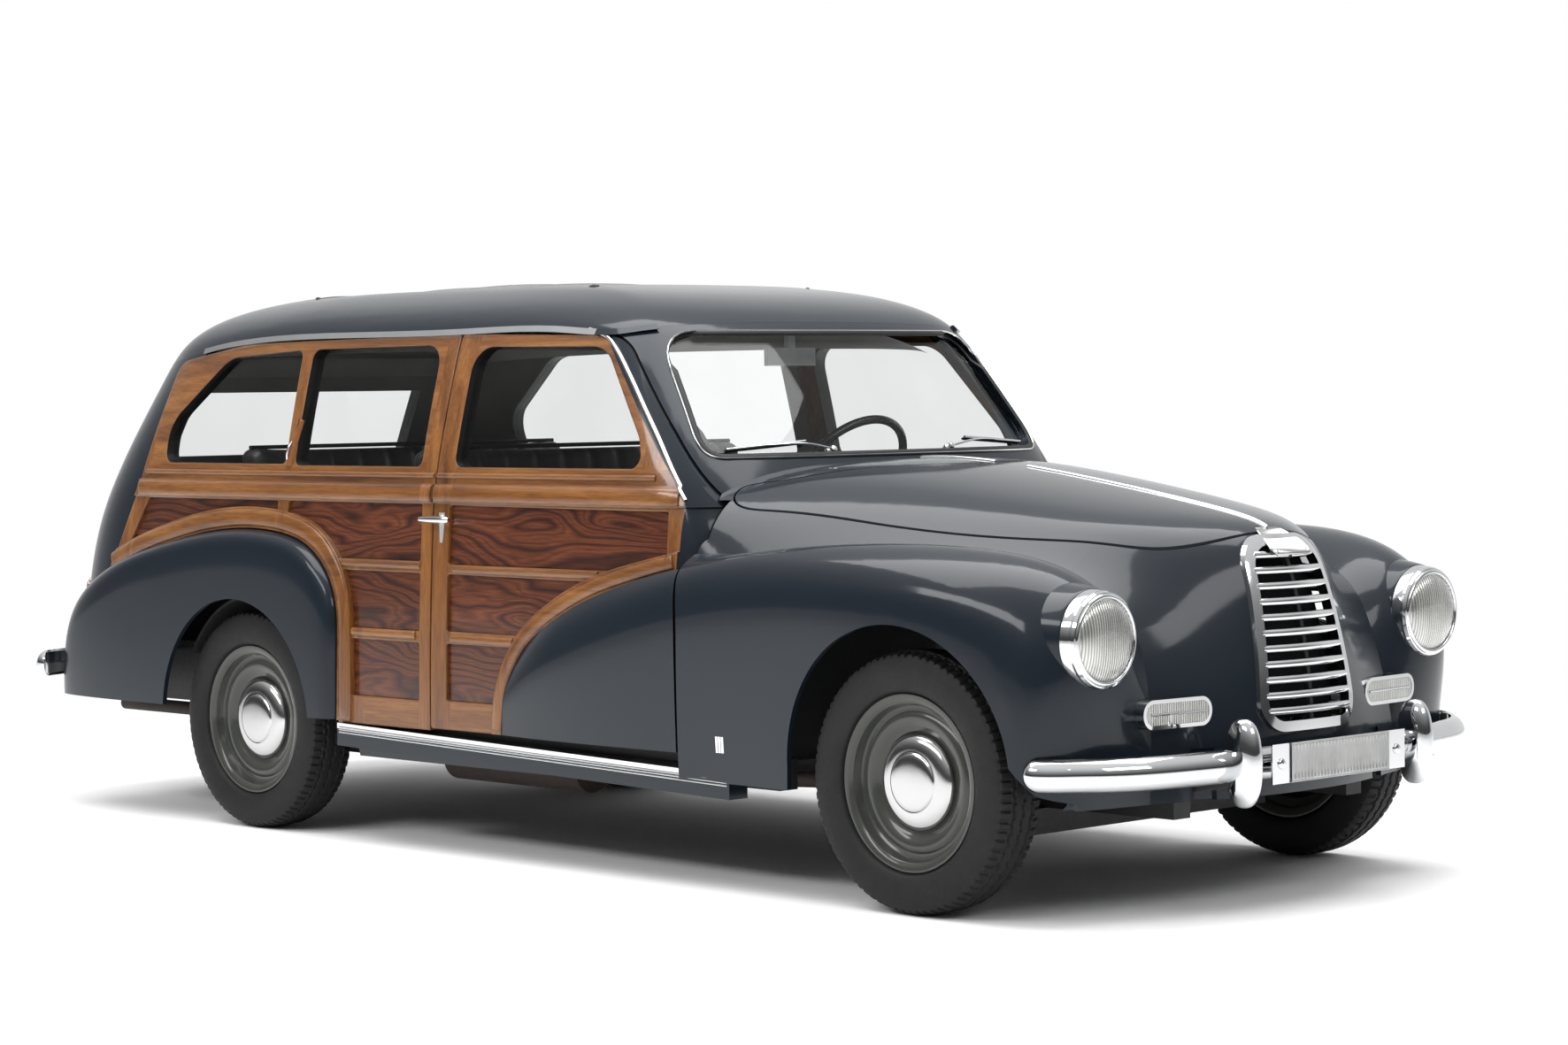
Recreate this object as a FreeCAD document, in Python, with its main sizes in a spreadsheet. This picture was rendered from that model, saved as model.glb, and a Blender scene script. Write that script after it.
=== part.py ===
import FreeCAD, Part
import math
import os

from FreeCAD import Vector

# Station wagon with a steel front end and a wood-framed body, in millimetres.
# X points forward, Y to the car's left and Z up. The ground is at Z = 0 and X = 0 is mid-length.
# Body stations are measured forward from the rear axle and shifted back by mid_ahead.
os.makedirs("parts", exist_ok=True)
doc = FreeCAD.newDocument("StationWagon")
sheet = doc.addObject("Spreadsheet::Sheet", "Sizes")

SIZES = {
    # Whole car
    "wheelbase": 2600, "front_reach": 3290, "rear_reach": 1160,
    "mid_ahead": "=(front_reach - rear_reach) / 2",
    # Cabin shell
    "cabin_half_width": 772, "roof_height": 1535, "screen_reach": 1950, "tail_reach": 1000,
    "cabin_wall": 42, "roof_wall": 24, "steel_wall": 14, "glass_wall": 5, "glass_depth": 16,
    "sill_top": 336, "panel_gap": 6, "seat_gap": 0.4, "overrun": 60,
    "roof_open_front": 1130, "roof_open_rear": -120, "roof_open_half": 420, "roof_open_round": 60,
    "cover_wall": 12,
    # Front end
    "wing_half_width": 800, "cowl_height": 1067, "nose_overhang": 595,
    "cowl_lap": 100, "pillar_foot": 915, "screen_low": 1060, "screen_high": 1378, "screen_half_width": 628,
    "tail_bottom": 410, "gate_top": 1300, "gate_bottom": 540, "gate_split": 980, "gate_hinge_reach": 1026, "gate_radius": 459, "gate_half_width": 560,
    "gate_lean_share": 0.10, "gate_round": 60, "gate_rim": 62,
    # Wood frame
    "moulding_proud": 8, "pocket_depth": 16, "veneer_depth": 9, "arch_band": 62, "belt_low": 938, "belt_high": 988,
    "pocket_round": 6, "gate_stile": 58,
    # Floor and frame
    "floor_top": 300, "floor_wall": 8, "load_floor_top": 500, "step_ahead": 400, "bulkhead_ahead": 1900,
    "bulkhead_half_width": 600, "bulkhead_top": 900, "floor_half_width": 726, "rail_side": 300, "rail_width": 60,
    "rail_depth": 70, "rail_reach": 3060, "load_reach": 930, "load_wide_reach": 700, "load_end_half": 640, "wheelhouse_side": 560, "sill_width": 60,
    "sill_lap": 300, "sill_bottom": 255,
    # Running gear
    "engine_rear": 2180, "engine_front": 2880, "engine_half_width": 220, "engine_bottom": 300, "engine_top": 800,
    "tank_rear": 880, "tank_front": 480, "tank_half_width": 285, "tank_bottom": 290,
    "stub_radius": 18, "hub_inner": 40, "stub_reach": 20, "casing_radius": 105,
    "spring_side": 505, "leaf_width": 50, "spring_half_length": 560, "spring_up": 225, "leaf_depth": 34,
    "kingpin_radius": 26, "kingpin_length": 150, "beam_half_width": 70, "beam_bottom": 160, "arm_depth": 22,
    "arm_half_width": 45, "pipe_radius": 20, "silencer_radius": 62, "silencer_length": 560, "silencer_back": 300,
    # Cabin fittings
    "bench_half_width": 610, "front_bench_front": 1130, "rear_bench_front": 330, "bench_depth": 480,
    "cushion_top": 370, "cushion_wall": 130, "back_wall": 110, "back_top": 1090, "rear_drop_share": 0.35,
    "dash_rear": 1560, "dash_front": 1690, "dash_half_width": 640, "dash_bottom": 850, "dash_top": 985,
    "steer_ahead": 1330, "steer_side": 330, "steer_up": 985, "column_ahead": 1860, "column_up": 600,
    "shaft_radius": 11, "steer_radius": 195, "steer_grip": 12, "sleeve_gap": 60, "sleeve_radius": 24,
    # Bumpers
    "front_bumper_wrap": 150, "rear_bumper_wrap": 65, "bumper_height": 78, "bumper_depth": 34, "guard_ahead": 14, "guard_side": 330,
    "guard_height": 205, "guard_depth": 96, "guard_width": 58, "guard_round": 13, "guard_rise": 8, "guard_proud": 62,
    "front_bumper_up": 355, "rear_bumper_up": 425, "plate_wall": 4, "plate_half_width": 255, "plate_half_height": 46,
    # Grille, lamps and trim
    "grille_low": 428, "grille_high": 862, "grille_half_width": 172, "grille_rim": 12, "grille_bars": 11, "bar_depth": 16, "grille_taper_share": 0.26,
    "bar_height_share": 0.28, "bar_back_share": 0.6,
    "lamp_overhang": 470, "lamp_side": 624, "lamp_up": 655, "lamp_radius": 112, "lens_radius": 94,
    "parking_half_length": 112, "parking_half_height": 34, "parking_side": 407, "parking_up": 477,
    "parking_depth": 130, "parking_inner_overhang": 528, "parking_outer_overhang": 500, "parking_rim": 9, "tail_lamp_radius": 36, "tail_lamp_reach": 985, "tail_lamp_side": 602,
    "tail_lamp_up": 650, "drip_rail_width": 16, "drip_rail_proud": 9, "strip_front_up": 292, "strip_height": 62,
    "strip_depth": 62, "strip_lap": 186, "mirror_ahead": 1440, "mirror_half_width": 90, "mirror_half_height": 24, "mirror_depth": 14,
    "mirror_up": 1316, "mirror_stem_top": 1400,
    # Doors
    "quarter_reach": 735, "side_zone": 240, "wing_bottom": 338, "front_arch_up": 328,
    "nose_split_share_of_span": 0.74,
    "door_rear": 848, "door_front": 1832, "door_top": 1388, "belt_height": 955,
    "hinge_ahead": 62, "hinge_side": 765,
    # Wheels
    "track_front": 1416, "track_rear": 1356, "tyre_radius": 310, "tyre_width": 150, "tyre_flats": 48,
    "rim_radius": 206, "rim_width": 118, "hub_cap_radius": 113, "hub_cap_depth": 34,
    "front_arch_radius": 354, "rear_arch_radius": 345,
    "kingpin_side": 628, "axle_tube_radius": 34,
}

for row, (alias, value) in enumerate(SIZES.items(), 1):
    sheet.set("A%d" % row, alias)
    sheet.set("B%d" % row, str(value))
    sheet.setAlias("B%d" % row, alias)
doc.recompute()


def size(alias):
    """The value of a named size, in millimetres."""
    return float(sheet.get(alias))


WHEELBASE = size("wheelbase")
MID = size("mid_ahead")
HALF = size("wing_half_width")
CABIN = size("cabin_half_width")
ROOF = size("roof_height")
TAIL = size("tail_reach")
SCREEN = size("screen_reach")
GAP = size("panel_gap")
SEAT = size("seat_gap")
OVER = size("overrun")
AXLE_UP = size("tyre_radius")
ALONG = Vector(1, 0, 0)
LEFT = Vector(0, 1, 0)
UP = Vector(0, 0, 1)


def spot(x, y, z):
    """A place given forward of the rear axle, left of the centre plane and above the ground."""
    return Vector(x - MID, y, z)


def knots(count, degree):
    return list(range(count - degree + 1))


def repeats(count, degree):
    return [degree + 1] + [1] * (count - degree - 1) + [degree + 1]


def surface(grid):
    """A smooth surface drawn by a grid of poles, cubic wherever the grid has four or more."""
    rows, columns = len(grid), len(grid[0])
    first, second = min(3, rows - 1), min(3, columns - 1)
    made = Part.BSplineSurface()
    made.buildFromPolesMultsKnots(grid, repeats(rows, first), repeats(columns, second),
                                  knots(rows, first), knots(columns, second), False, False, first, second)
    return made


def pole_place(index, count, degree=3):
    """The parameter at which a pole has its strongest pull."""
    last = count - degree
    total = sum(min(max(index + step - degree, 0), last) for step in range(1, degree + 1))
    return total / degree


def poles_inward(grid, side):
    """A unit step into the car at each pole of a grid, square to its surface."""
    base = surface(grid)
    rows, columns = len(grid), len(grid[0])
    steps = []
    for i in range(rows):
        line = []
        for j in range(columns):
            step = base.normal(pole_place(i, rows), pole_place(j, columns)) * side
            if abs(grid[i][j].y) < SEAT:
                step.y = 0
            line.append(step.normalize())
        steps.append(line)
    return steps


def moved(grid, steps, depth):
    return [[pole + step * depth for pole, step in zip(line, step_line)]
            for line, step_line in zip(grid, steps)]


def solid_between(outer, inner):
    """A closed solid between two like grids, with straight walls round the rim."""
    first = [line[0] for line in outer], [line[0] for line in inner]
    last = [line[-1] for line in outer], [line[-1] for line in inner]
    grids = [outer, inner, (outer[0], inner[0]), (outer[-1], inner[-1]), first, last]
    shell = Part.Shell([surface(list(grid)).toShape() for grid in grids])
    shell.sewShape()
    made = Part.Solid(shell)
    if made.Volume < 0:
        made.reverse()
    return made


def mirrored(shape):
    return shape.mirror(Vector(0, 0, 0), LEFT)


def rounded_wire(corners, place):
    """A closed outline whose corners (a, b, radius) are rounded by arcs."""
    count = len(corners)
    edges = []
    starts = []
    for index in range(count):
        before = corners[index - 1]
        here = corners[index]
        after = corners[(index + 1) % count]
        point = place(here[0], here[1])
        if here[2] == 0:
            starts.append((point, point, None))
            continue
        to_before = (place(before[0], before[1]) - point).normalize()
        to_after = (place(after[0], after[1]) - point).normalize()
        half_turn = to_before.getAngle(to_after) / 2
        reach = here[2] / math.tan(half_turn)
        middle = (to_before + to_after).normalize()
        top = point + middle * (here[2] / math.sin(half_turn) - here[2])
        starts.append((point + to_before * reach, point + to_after * reach, top))
    for index in range(count):
        begin, end, top = starts[index]
        if top is not None:
            edges.append(Part.Arc(begin, top, end).toShape())
        following = starts[(index + 1) % count][0]
        if end.distanceToPoint(following) > SEAT / 10:
            edges.append(Part.LineSegment(end, following).toShape())
    return Part.Wire(edges)


def side_prism(wire, low, high):
    """An outline drawn in side view, extruded from one distance off the centre plane to another."""
    face = Part.Face(wire)
    face.translate(LEFT * low)
    return face.extrude(LEFT * (high - low))


def side_wire(corners, grow=0):
    wire = rounded_wire(corners, lambda x, z: spot(x, 0, z))
    return wire.makeOffset2D(grow) if grow else wire


def block(x_low, x_high, y_low, y_high, z_low, z_high):
    return Part.makeBox(x_high - x_low, y_high - y_low, z_high - z_low, spot(x_low, y_low, z_low))


def one_solid(shape):
    """The largest solid of a shape, without the slivers a cut may leave."""
    return max(shape.Solids, key=lambda solid: solid.Volume)


def fused(shapes):
    made = shapes[0].fuse(list(shapes[1:])) if len(shapes) > 1 else shapes[0]
    return made.removeSplitter()


parts = {}


def keep(label, shape):
    """A sub-part whose solid is set here, as a feature with a label and a placement of its own."""
    feature = doc.addObject("Part::Feature", label)
    feature.Shape = shape
    feature.Label = label
    feature.Placement = FreeCAD.Placement()
    parts[label] = feature
    return feature


def bound_block(label, x_low, x_high, y_low, y_high, z_low, z_high):
    """A plain block of its own, with its place and sides as expressions on the sheet."""
    item = doc.addObject("Part::Box", label)
    item.Label = label
    item.setExpression("Length", "(%s) - (%s)" % (x_high, x_low))
    item.setExpression("Width", "(%s) - (%s)" % (y_high, y_low))
    item.setExpression("Height", "(%s) - (%s)" % (z_high, z_low))
    item.setExpression(".Placement.Base.x", "(%s) - Sizes.mid_ahead" % x_low)
    item.setExpression(".Placement.Base.y", y_low)
    item.setExpression(".Placement.Base.z", z_low)
    parts[label] = item
    return item


def bound_union(label, items):
    """One sub-part joined from blocks that stay bound to the sheet."""
    item = doc.addObject("Part::MultiFuse", label)
    item.Label = label
    item.Shapes = items
    for piece in items:
        del parts[piece.Name]
    parts[label] = item
    return item


# Cabin shell
# Each row is one level of the shell: half width, reach of the screen and of the tail as shares,
# and the height as a share of the roof's at the side, at the screen and at the tail.
CABIN_ROW_SHARES = [
    (1.000, 1.000, 0.985, 0.190, 0.190, 0.190),
    (1.000, 1.000, 1.000, 0.293, 0.293, 0.293),
    (0.991, 0.990, 0.995, 0.423, 0.423, 0.423),
    (0.978, 0.974, 0.940, 0.554, 0.554, 0.554),
    (0.965, 0.949, 0.865, 0.638, 0.638, 0.638),
    (0.926, 0.903, 0.790, 0.730, 0.730, 0.723),
    (0.874, 0.856, 0.720, 0.827, 0.814, 0.801),
    (0.835, 0.815, 0.665, 0.902, 0.886, 0.863),
    (0.777, 0.792, 0.625, 0.948, 0.925, 0.909),
    (0.635, 0.738, 0.540, 0.977, 0.961, 0.954),
    (0.555, 0.650, 0.300, 0.988, 0.980, 0.980),
    (0.466, 0.530, 0.060, 0.993, 0.993, 0.993),
]
# Each column runs up the shell: where it stands between tail and screen (None at either end),
# its step ahead of the screen or behind the tail, its share of the half width,
# and how far it takes its height from the screen's or the tail's.
CABIN_COLUMN_SHARES = [
    ("screen", 0.065, 0.00, 1.0), ("screen", 0.065, 0.25, 1.0), ("screen", 0.040, 0.55, 1.0),
    ("screen", -0.006, 0.80, 1.0), ("screen", -0.078, 0.955, 1.0), ("screen", -0.220, 0.985, 0.6),
    ("side", 0.80, 0.995, 0.0), ("side", 0.62, 1.000, 0.0), ("side", 0.44, 1.000, 0.0),
    ("side", 0.28, 0.985, 0.0), ("tail", 0.390, 0.955, 0.5), ("tail", 0.170, 0.925, 0.8),
    ("tail", 0.040, 0.850, 1.0), ("tail", -0.013, 0.62, 1.0), ("tail", -0.039, 0.30, 1.0),
    ("tail", -0.039, 0.00, 1.0),
]


def cabin_grid():
    grid = []
    for width, screen, tail, up_side, up_screen, up_tail in CABIN_ROW_SHARES:
        half = CABIN * width
        ahead = SCREEN * screen
        behind = -TAIL * tail
        line = []
        for kind, step, across, blend in CABIN_COLUMN_SHARES:
            if kind == "screen":
                x = ahead + step * half
                up = up_screen * blend + up_side * (1 - blend)
            elif kind == "tail":
                x = behind + step * half
                up = up_tail * blend + up_side * (1 - blend)
            else:
                x = behind + step * (ahead - behind)
                up = up_side
            line.append(spot(x, half * across, ROOF * up))
        grid.append(line)
    return grid


CABIN_OUT = cabin_grid()
CABIN_STEPS = poles_inward(CABIN_OUT, 1)
if CABIN_STEPS[3][8].y > 0:
    CABIN_STEPS = poles_inward(CABIN_OUT, -1)


def cabin_slab(near, far):
    """The left half of the shell between two depths inside its outer face."""
    return solid_between(moved(CABIN_OUT, CABIN_STEPS, near), moved(CABIN_OUT, CABIN_STEPS, far))


side_wall = cabin_slab(0, size("cabin_wall"))
roof_wall = cabin_slab(0, size("roof_wall"))
glass_sheet = cabin_slab(size("glass_depth"), size("glass_depth") + size("glass_wall"))

# Steel front end
# Each row runs from the door edge forward round the nose to the lower edge. A point holds its way
# ahead of the door edge as a share of the front span, and its shares of half width and cowl height.
INNER_ROW_SHARES = [
    [(-0.302, 0.000, 0.970), (-0.126, 0.000, 0.970), (0.013, 0.000, 0.980), (0.160, 0.000, 0.986),
     (0.343, 0.000, 0.965), (0.563, 0.000, 0.923), (0.725, 0.000, 0.888), (0.842, 0.000, 0.860),
     (0.912, 0.000, 0.832), (0.949, 0.000, 0.759), (0.978, 0.000, 0.600), (1.000, 0.000, 0.422),
     (0.989, 0.000, 0.253)],
    [(-0.302, 0.175, 0.970), (-0.126, 0.175, 0.970), (0.013, 0.175, 0.980), (0.160, 0.175, 0.986),
     (0.343, 0.175, 0.965), (0.563, 0.163, 0.923), (0.725, 0.137, 0.888), (0.842, 0.112, 0.860),
     (0.912, 0.100, 0.832), (0.949, 0.100, 0.759), (0.978, 0.100, 0.600), (1.000, 0.112, 0.422),
     (0.989, 0.125, 0.253)],
    [(-0.302, 0.500, 0.961), (-0.126, 0.500, 0.961), (0.013, 0.494, 0.970), (0.160, 0.475, 0.969),
     (0.343, 0.425, 0.945), (0.563, 0.375, 0.904), (0.725, 0.325, 0.873), (0.828, 0.262, 0.848),
     (0.890, 0.212, 0.813), (0.930, 0.194, 0.740), (0.963, 0.206, 0.590), (0.982, 0.225, 0.422),
     (0.978, 0.250, 0.253)],
    [(-0.302, 0.762, 0.937), (-0.126, 0.762, 0.937), (0.013, 0.719, 0.937), (0.160, 0.662, 0.923),
     (0.343, 0.594, 0.900), (0.563, 0.512, 0.870), (0.725, 0.450, 0.843), (0.813, 0.375, 0.817),
     (0.872, 0.325, 0.773), (0.912, 0.306, 0.694), (0.941, 0.319, 0.562), (0.960, 0.350, 0.412),
     (0.960, 0.375, 0.253)],
    [(-0.302, 0.931, 0.900), (-0.126, 0.931, 0.900), (0.013, 0.875, 0.872), (0.160, 0.794, 0.848),
     (0.343, 0.706, 0.820), (0.563, 0.612, 0.792), (0.725, 0.550, 0.769), (0.806, 0.487, 0.740),
     (0.857, 0.444, 0.698), (0.894, 0.431, 0.628), (0.919, 0.444, 0.525), (0.934, 0.469, 0.394),
     (0.938, 0.487, 0.253)],
    [(-0.302, 0.927, 0.717), (-0.126, 0.929, 0.750), (0.013, 0.919, 0.778), (0.160, 0.862, 0.773),
     (0.343, 0.787, 0.764), (0.563, 0.706, 0.750), (0.725, 0.631, 0.736), (0.798, 0.587, 0.712),
     (0.850, 0.556, 0.665), (0.879, 0.550, 0.600), (0.901, 0.556, 0.506), (0.916, 0.575, 0.384),
     (0.919, 0.594, 0.253)],
]
WING_ROW_SHARES = [
    [(-0.596, 0.919, 0.422), (-0.449, 0.925, 0.619), (-0.302, 0.927, 0.717), (-0.126, 0.929, 0.750),
     (0.013, 0.919, 0.778), (0.160, 0.862, 0.773), (0.343, 0.787, 0.764), (0.563, 0.706, 0.750),
     (0.725, 0.631, 0.736), (0.798, 0.587, 0.712), (0.850, 0.556, 0.665), (0.879, 0.550, 0.600),
     (0.901, 0.556, 0.506), (0.916, 0.575, 0.384), (0.919, 0.594, 0.253)],
    [(-0.566, 0.927, 0.403), (-0.449, 0.940, 0.581), (-0.302, 0.948, 0.665), (-0.126, 0.953, 0.714),
     (0.013, 0.950, 0.754), (0.160, 0.927, 0.792), (0.343, 0.869, 0.815), (0.563, 0.794, 0.823),
     (0.725, 0.737, 0.808), (0.820, 0.700, 0.773), (0.879, 0.688, 0.717), (0.912, 0.681, 0.637),
     (0.919, 0.688, 0.515), (0.916, 0.700, 0.384), (0.908, 0.712, 0.253)],
    [(-0.559, 0.940, 0.384), (-0.449, 0.969, 0.539), (-0.302, 0.990, 0.623), (-0.126, 0.994, 0.689),
     (0.013, 0.990, 0.736), (0.160, 0.981, 0.778), (0.343, 0.960, 0.808), (0.563, 0.931, 0.817),
     (0.725, 0.894, 0.801), (0.828, 0.862, 0.764), (0.886, 0.850, 0.703), (0.914, 0.844, 0.619),
     (0.916, 0.844, 0.506), (0.905, 0.856, 0.384), (0.894, 0.869, 0.253)],
    [(-0.552, 0.953, 0.366), (-0.449, 0.990, 0.478), (-0.302, 1.015, 0.544), (-0.126, 1.019, 0.609),
     (0.013, 1.019, 0.647), (0.160, 1.022, 0.689), (0.343, 1.031, 0.717), (0.563, 1.035, 0.726),
     (0.725, 1.019, 0.708), (0.806, 0.994, 0.670), (0.857, 0.975, 0.619), (0.879, 0.963, 0.544),
     (0.879, 0.956, 0.459), (0.864, 0.956, 0.366), (0.850, 0.963, 0.253)],
    [(-0.552, 0.956, 0.337), (-0.449, 0.994, 0.422), (-0.302, 1.015, 0.469), (-0.126, 1.015, 0.515),
     (0.013, 1.012, 0.544), (0.160, 1.015, 0.572), (0.343, 1.019, 0.581), (0.563, 1.022, 0.581),
     (0.696, 1.019, 0.562), (0.754, 1.012, 0.534), (0.798, 1.006, 0.497), (0.820, 1.000, 0.450),
     (0.824, 1.000, 0.394), (0.817, 1.000, 0.328), (0.806, 1.000, 0.253)],
    [(-0.552, 0.956, 0.309), (-0.449, 0.988, 0.347), (-0.302, 1.006, 0.366), (-0.126, 1.006, 0.394),
     (0.013, 1.000, 0.394), (0.160, 1.002, 0.403), (0.343, 1.006, 0.403), (0.527, 1.012, 0.403),
     (0.622, 1.012, 0.394), (0.681, 1.012, 0.375), (0.725, 1.006, 0.356), (0.747, 1.000, 0.337),
     (0.754, 1.000, 0.309), (0.758, 1.000, 0.281), (0.762, 1.000, 0.253)],
    [(-0.552, 0.956, 0.253), (-0.449, 0.981, 0.253), (-0.302, 0.994, 0.253), (-0.126, 0.994, 0.253),
     (0.013, 0.988, 0.253), (0.160, 0.988, 0.253), (0.343, 1.000, 0.253), (0.453, 1.000, 0.253),
     (0.527, 1.000, 0.253), (0.578, 1.000, 0.253), (0.615, 1.000, 0.253), (0.637, 1.000, 0.253),
     (0.659, 1.000, 0.253), (0.681, 1.000, 0.253), (0.703, 1.000, 0.253)],
]
DOOR_FRONT = size("door_front")
FRONT_SPAN = WHEELBASE + size("nose_overhang") - DOOR_FRONT
COWL = size("cowl_height")


def front_place(ahead, across, up):
    return spot(DOOR_FRONT + ahead * FRONT_SPAN, HALF * across, COWL * up)


INNER_OUT = [[front_place(*point) for point in line] for line in INNER_ROW_SHARES]
WING_OUT = [[front_place(*point) for point in line] for line in WING_ROW_SHARES]
INNER_STEPS = poles_inward(INNER_OUT, 1)
if INNER_STEPS[0][3].z > 0:
    INNER_STEPS = poles_inward(INNER_OUT, -1)
WING_STEPS = poles_inward(WING_OUT, 1)
if WING_STEPS[4][6].y > 0:
    WING_STEPS = poles_inward(WING_OUT, -1)
LATER = len(WING_OUT[0]) - len(INNER_OUT[0])
for index in range(len(INNER_OUT[0])):
    shared = (INNER_STEPS[-1][index] + WING_STEPS[0][index + LATER]).normalize()
    INNER_STEPS[-1][index] = shared
    WING_STEPS[0][index + LATER] = shared
STEEL = size("steel_wall")
inner_skin = solid_between(INNER_OUT, moved(INNER_OUT, INNER_STEPS, STEEL))
wing_skin = solid_between(WING_OUT, moved(WING_OUT, WING_STEPS, STEEL))

WHOLE = 2 * HALF


def outline(shares, x_low, x_high, z_low, z_high):
    """Corners (x, z, radius) from shares of a frame's length and height."""
    tall = z_high - z_low
    return [(x_low + a * (x_high - x_low), z_low + b * tall, c * tall) for a, b, c in shares]


def front_wire(corners, x, grow=0):
    """An outline drawn in front view, in the plane at x."""
    wire = rounded_wire(corners, lambda y, z: spot(x, y, z))
    return wire.makeOffset2D(grow) if grow else wire


def along_prism(wire, length):
    return Part.Face(wire).extrude(ALONG * length)


# Door outline and window, as shares of the door frame
DOOR_OUTLINE_SHARES = [(0, 0, 0.008), (0, 1, 0.010), (0.642, 0.985, 0.150), (0.866, 0.745, 0.240),
                       (1.035, 0.550, 0.040), (1.035, 0, 0)]
DOOR_WINDOW_SHARES = [(0.068, 0.662, 0.027), (0.068, 0.966, 0.067), (0.586, 0.959, 0.100),
                      (0.776, 0.736, 0.086), (0.805, 0.662, 0.028)]
QUARTER_OUTLINE_SHARES = [(1, 0, 0), (1, 1, 0.010), (0.371, 0.990, 0.280), (0.149, 0.945, 0.057),
                          (0.095, 0.593, 0.057), (0, 0.336, 0.010), (0, 0, 0)]
REAR_WINDOW_SHARES = [(0.571, 0.667, 0.019), (0.561, 0.969, 0.024), (0.330, 0.954, 0.140),
                      (0.168, 0.774, 0.095), (0.178, 0.667, 0.038)]
MIDDLE_WINDOW_SHARES = [(0.599, 0.664, 0.017), (0.593, 0.970, 0.028), (0.957, 0.973, 0.057),
                        (0.959, 0.664, 0.021)]
DOOR_REAR = size("door_rear")
DOOR_TOP = size("door_top")
SILL = size("sill_top")
QUARTER_REAR = -size("quarter_reach")
BELT = size("belt_height")
HINGE_X = DOOR_FRONT + size("hinge_ahead")
HINGE_Y = size("hinge_side")
INSIDE = HALF - size("side_zone")
OUTSIDE = HALF + OVER


def door_wire(shares, grow=0):
    return side_wire(outline(shares, DOOR_REAR, DOOR_FRONT, SILL, DOOR_TOP), grow)


def quarter_wire(shares, grow=0):
    return side_wire(outline(shares, QUARTER_REAR, DOOR_REAR - GAP, SILL - GAP + SEAT, DOOR_TOP), grow)


def hinge_post(radius, z_low, z_high):
    return Part.makeCylinder(radius, z_high - z_low, spot(HINGE_X, HINGE_Y, z_low), UP)


door_cut = hinge_post(size("hinge_ahead") + GAP / 2, 0, BELT)
post_kept = hinge_post(size("hinge_ahead") - GAP / 2, 0, BELT)
door_space = side_prism(door_wire(DOOR_OUTLINE_SHARES, GAP), INSIDE, OUTSIDE)
below_space = block(DOOR_REAR, HINGE_X - size("hinge_ahead") / 3, INSIDE, OUTSIDE, 0, BELT).cut(post_kept)
door_space = door_space.cut(post_kept)

# Roof line, along the tops of the doors and quarter windows and over the screens
ROOF_LINE_SHARES = [(-1.06, 0.838), (-0.70, 0.852), (-0.52, 0.870), (-0.30, 0.892), (-0.10, 0.903), (0.30, 0.908),
                    (0.848, 0.908), (1.25, 0.907), (1.48, 0.903), (1.56, 0.912), (2.06, 0.914)]


def roof_prism(grow):
    ends = [spot(a * TAIL, 0, b * ROOF + grow) for a, b in ROOF_LINE_SHARES]
    line = Part.BSplineCurve()
    line.interpolate(ends)
    high = ROOF + OVER
    top = [Vector(ends[-1].x, 0, high), Vector(ends[0].x, 0, high)]
    rim = Part.makePolygon([ends[-1], top[0], top[1], ends[0]])
    face = Part.Face(Part.Wire([line.toShape()] + rim.Edges))
    face.translate(LEFT * -OVER)
    return face.extrude(LEFT * (OUTSIDE + OVER))


roof_zone = roof_prism(0)
roof_space = roof_prism(-SEAT)
OPEN_FRONT = size("roof_open_front")
OPEN_REAR = size("roof_open_rear")
OPEN_HALF = size("roof_open_half")
OPEN_ROUND = size("roof_open_round")


def roof_opening(grow, low, high):
    """The sliding roof's outline in plan, through a band of height."""
    corners = [(OPEN_FRONT, OPEN_HALF, OPEN_ROUND), (OPEN_FRONT, -OPEN_HALF, OPEN_ROUND),
               (OPEN_REAR, -OPEN_HALF, OPEN_ROUND), (OPEN_REAR, OPEN_HALF, OPEN_ROUND)]
    wire = rounded_wire(corners, lambda x, y: spot(x, y, low))
    return Part.Face(wire.makeOffset2D(grow) if grow else wire).extrude(UP * (high - low))


half_roof = roof_wall.common(roof_zone).cut(roof_opening(0, ROOF / 2, ROOF + OVER))
keep("roof", one_solid(fused([half_roof, mirrored(half_roof)])))
COVER_SHARES = [(-0.02, 0.984), (0.25, 0.997), (0.5, 1.002), (0.75, 0.996), (0.92, 0.986), (1.02, 0.974)]
COVER_ACROSS_SHARES = [(-1.05, 0.972), (-0.7, 0.996), (0, 1.006), (0.7, 0.996), (1.05, 0.972)]
cover = [[spot(OPEN_REAR + along * (OPEN_FRONT - OPEN_REAR), across * (OPEN_HALF + OVER), ROOF * up * level)
          for across, level in COVER_ACROSS_SHARES] for along, up in COVER_SHARES]
cover = solid_between(cover, [[pole - UP * size("cover_wall") for pole in line] for line in cover])
keep("roof_cover", one_solid(cover.common(roof_opening(-SEAT, ROOF / 2, ROOF + OVER))))

# Rear wings: a dome drawn round the axle by angle and reach
WING_RIM_SHARES = [(-28, 0.455), (-10, 0.445), (8, 0.452), (22, 0.482), (34, 0.545), (44, 0.590), (56, 0.598),
                   (68, 0.578), (88, 0.550), (108, 0.562), (124, 0.610), (138, 0.700), (149, 0.810),
                   (160, 0.935), (170, 0.990), (180, 0.985), (190, 0.985)]
WING_LEVEL_SHARES = [(1.0, 0.865, 1.0), (1.0, 0.950, 0.6), (0.985, 0.992, 0.3), (0.88, 1.005, 0.1),
                     (0.60, 1.006, 0), (0.28, 1.006, 0)]
WING_TUCK_SHARES = {149: 0.02, 160: 0.07, 170: 0.16, 180: 0.20, 190: 0.20}


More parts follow.
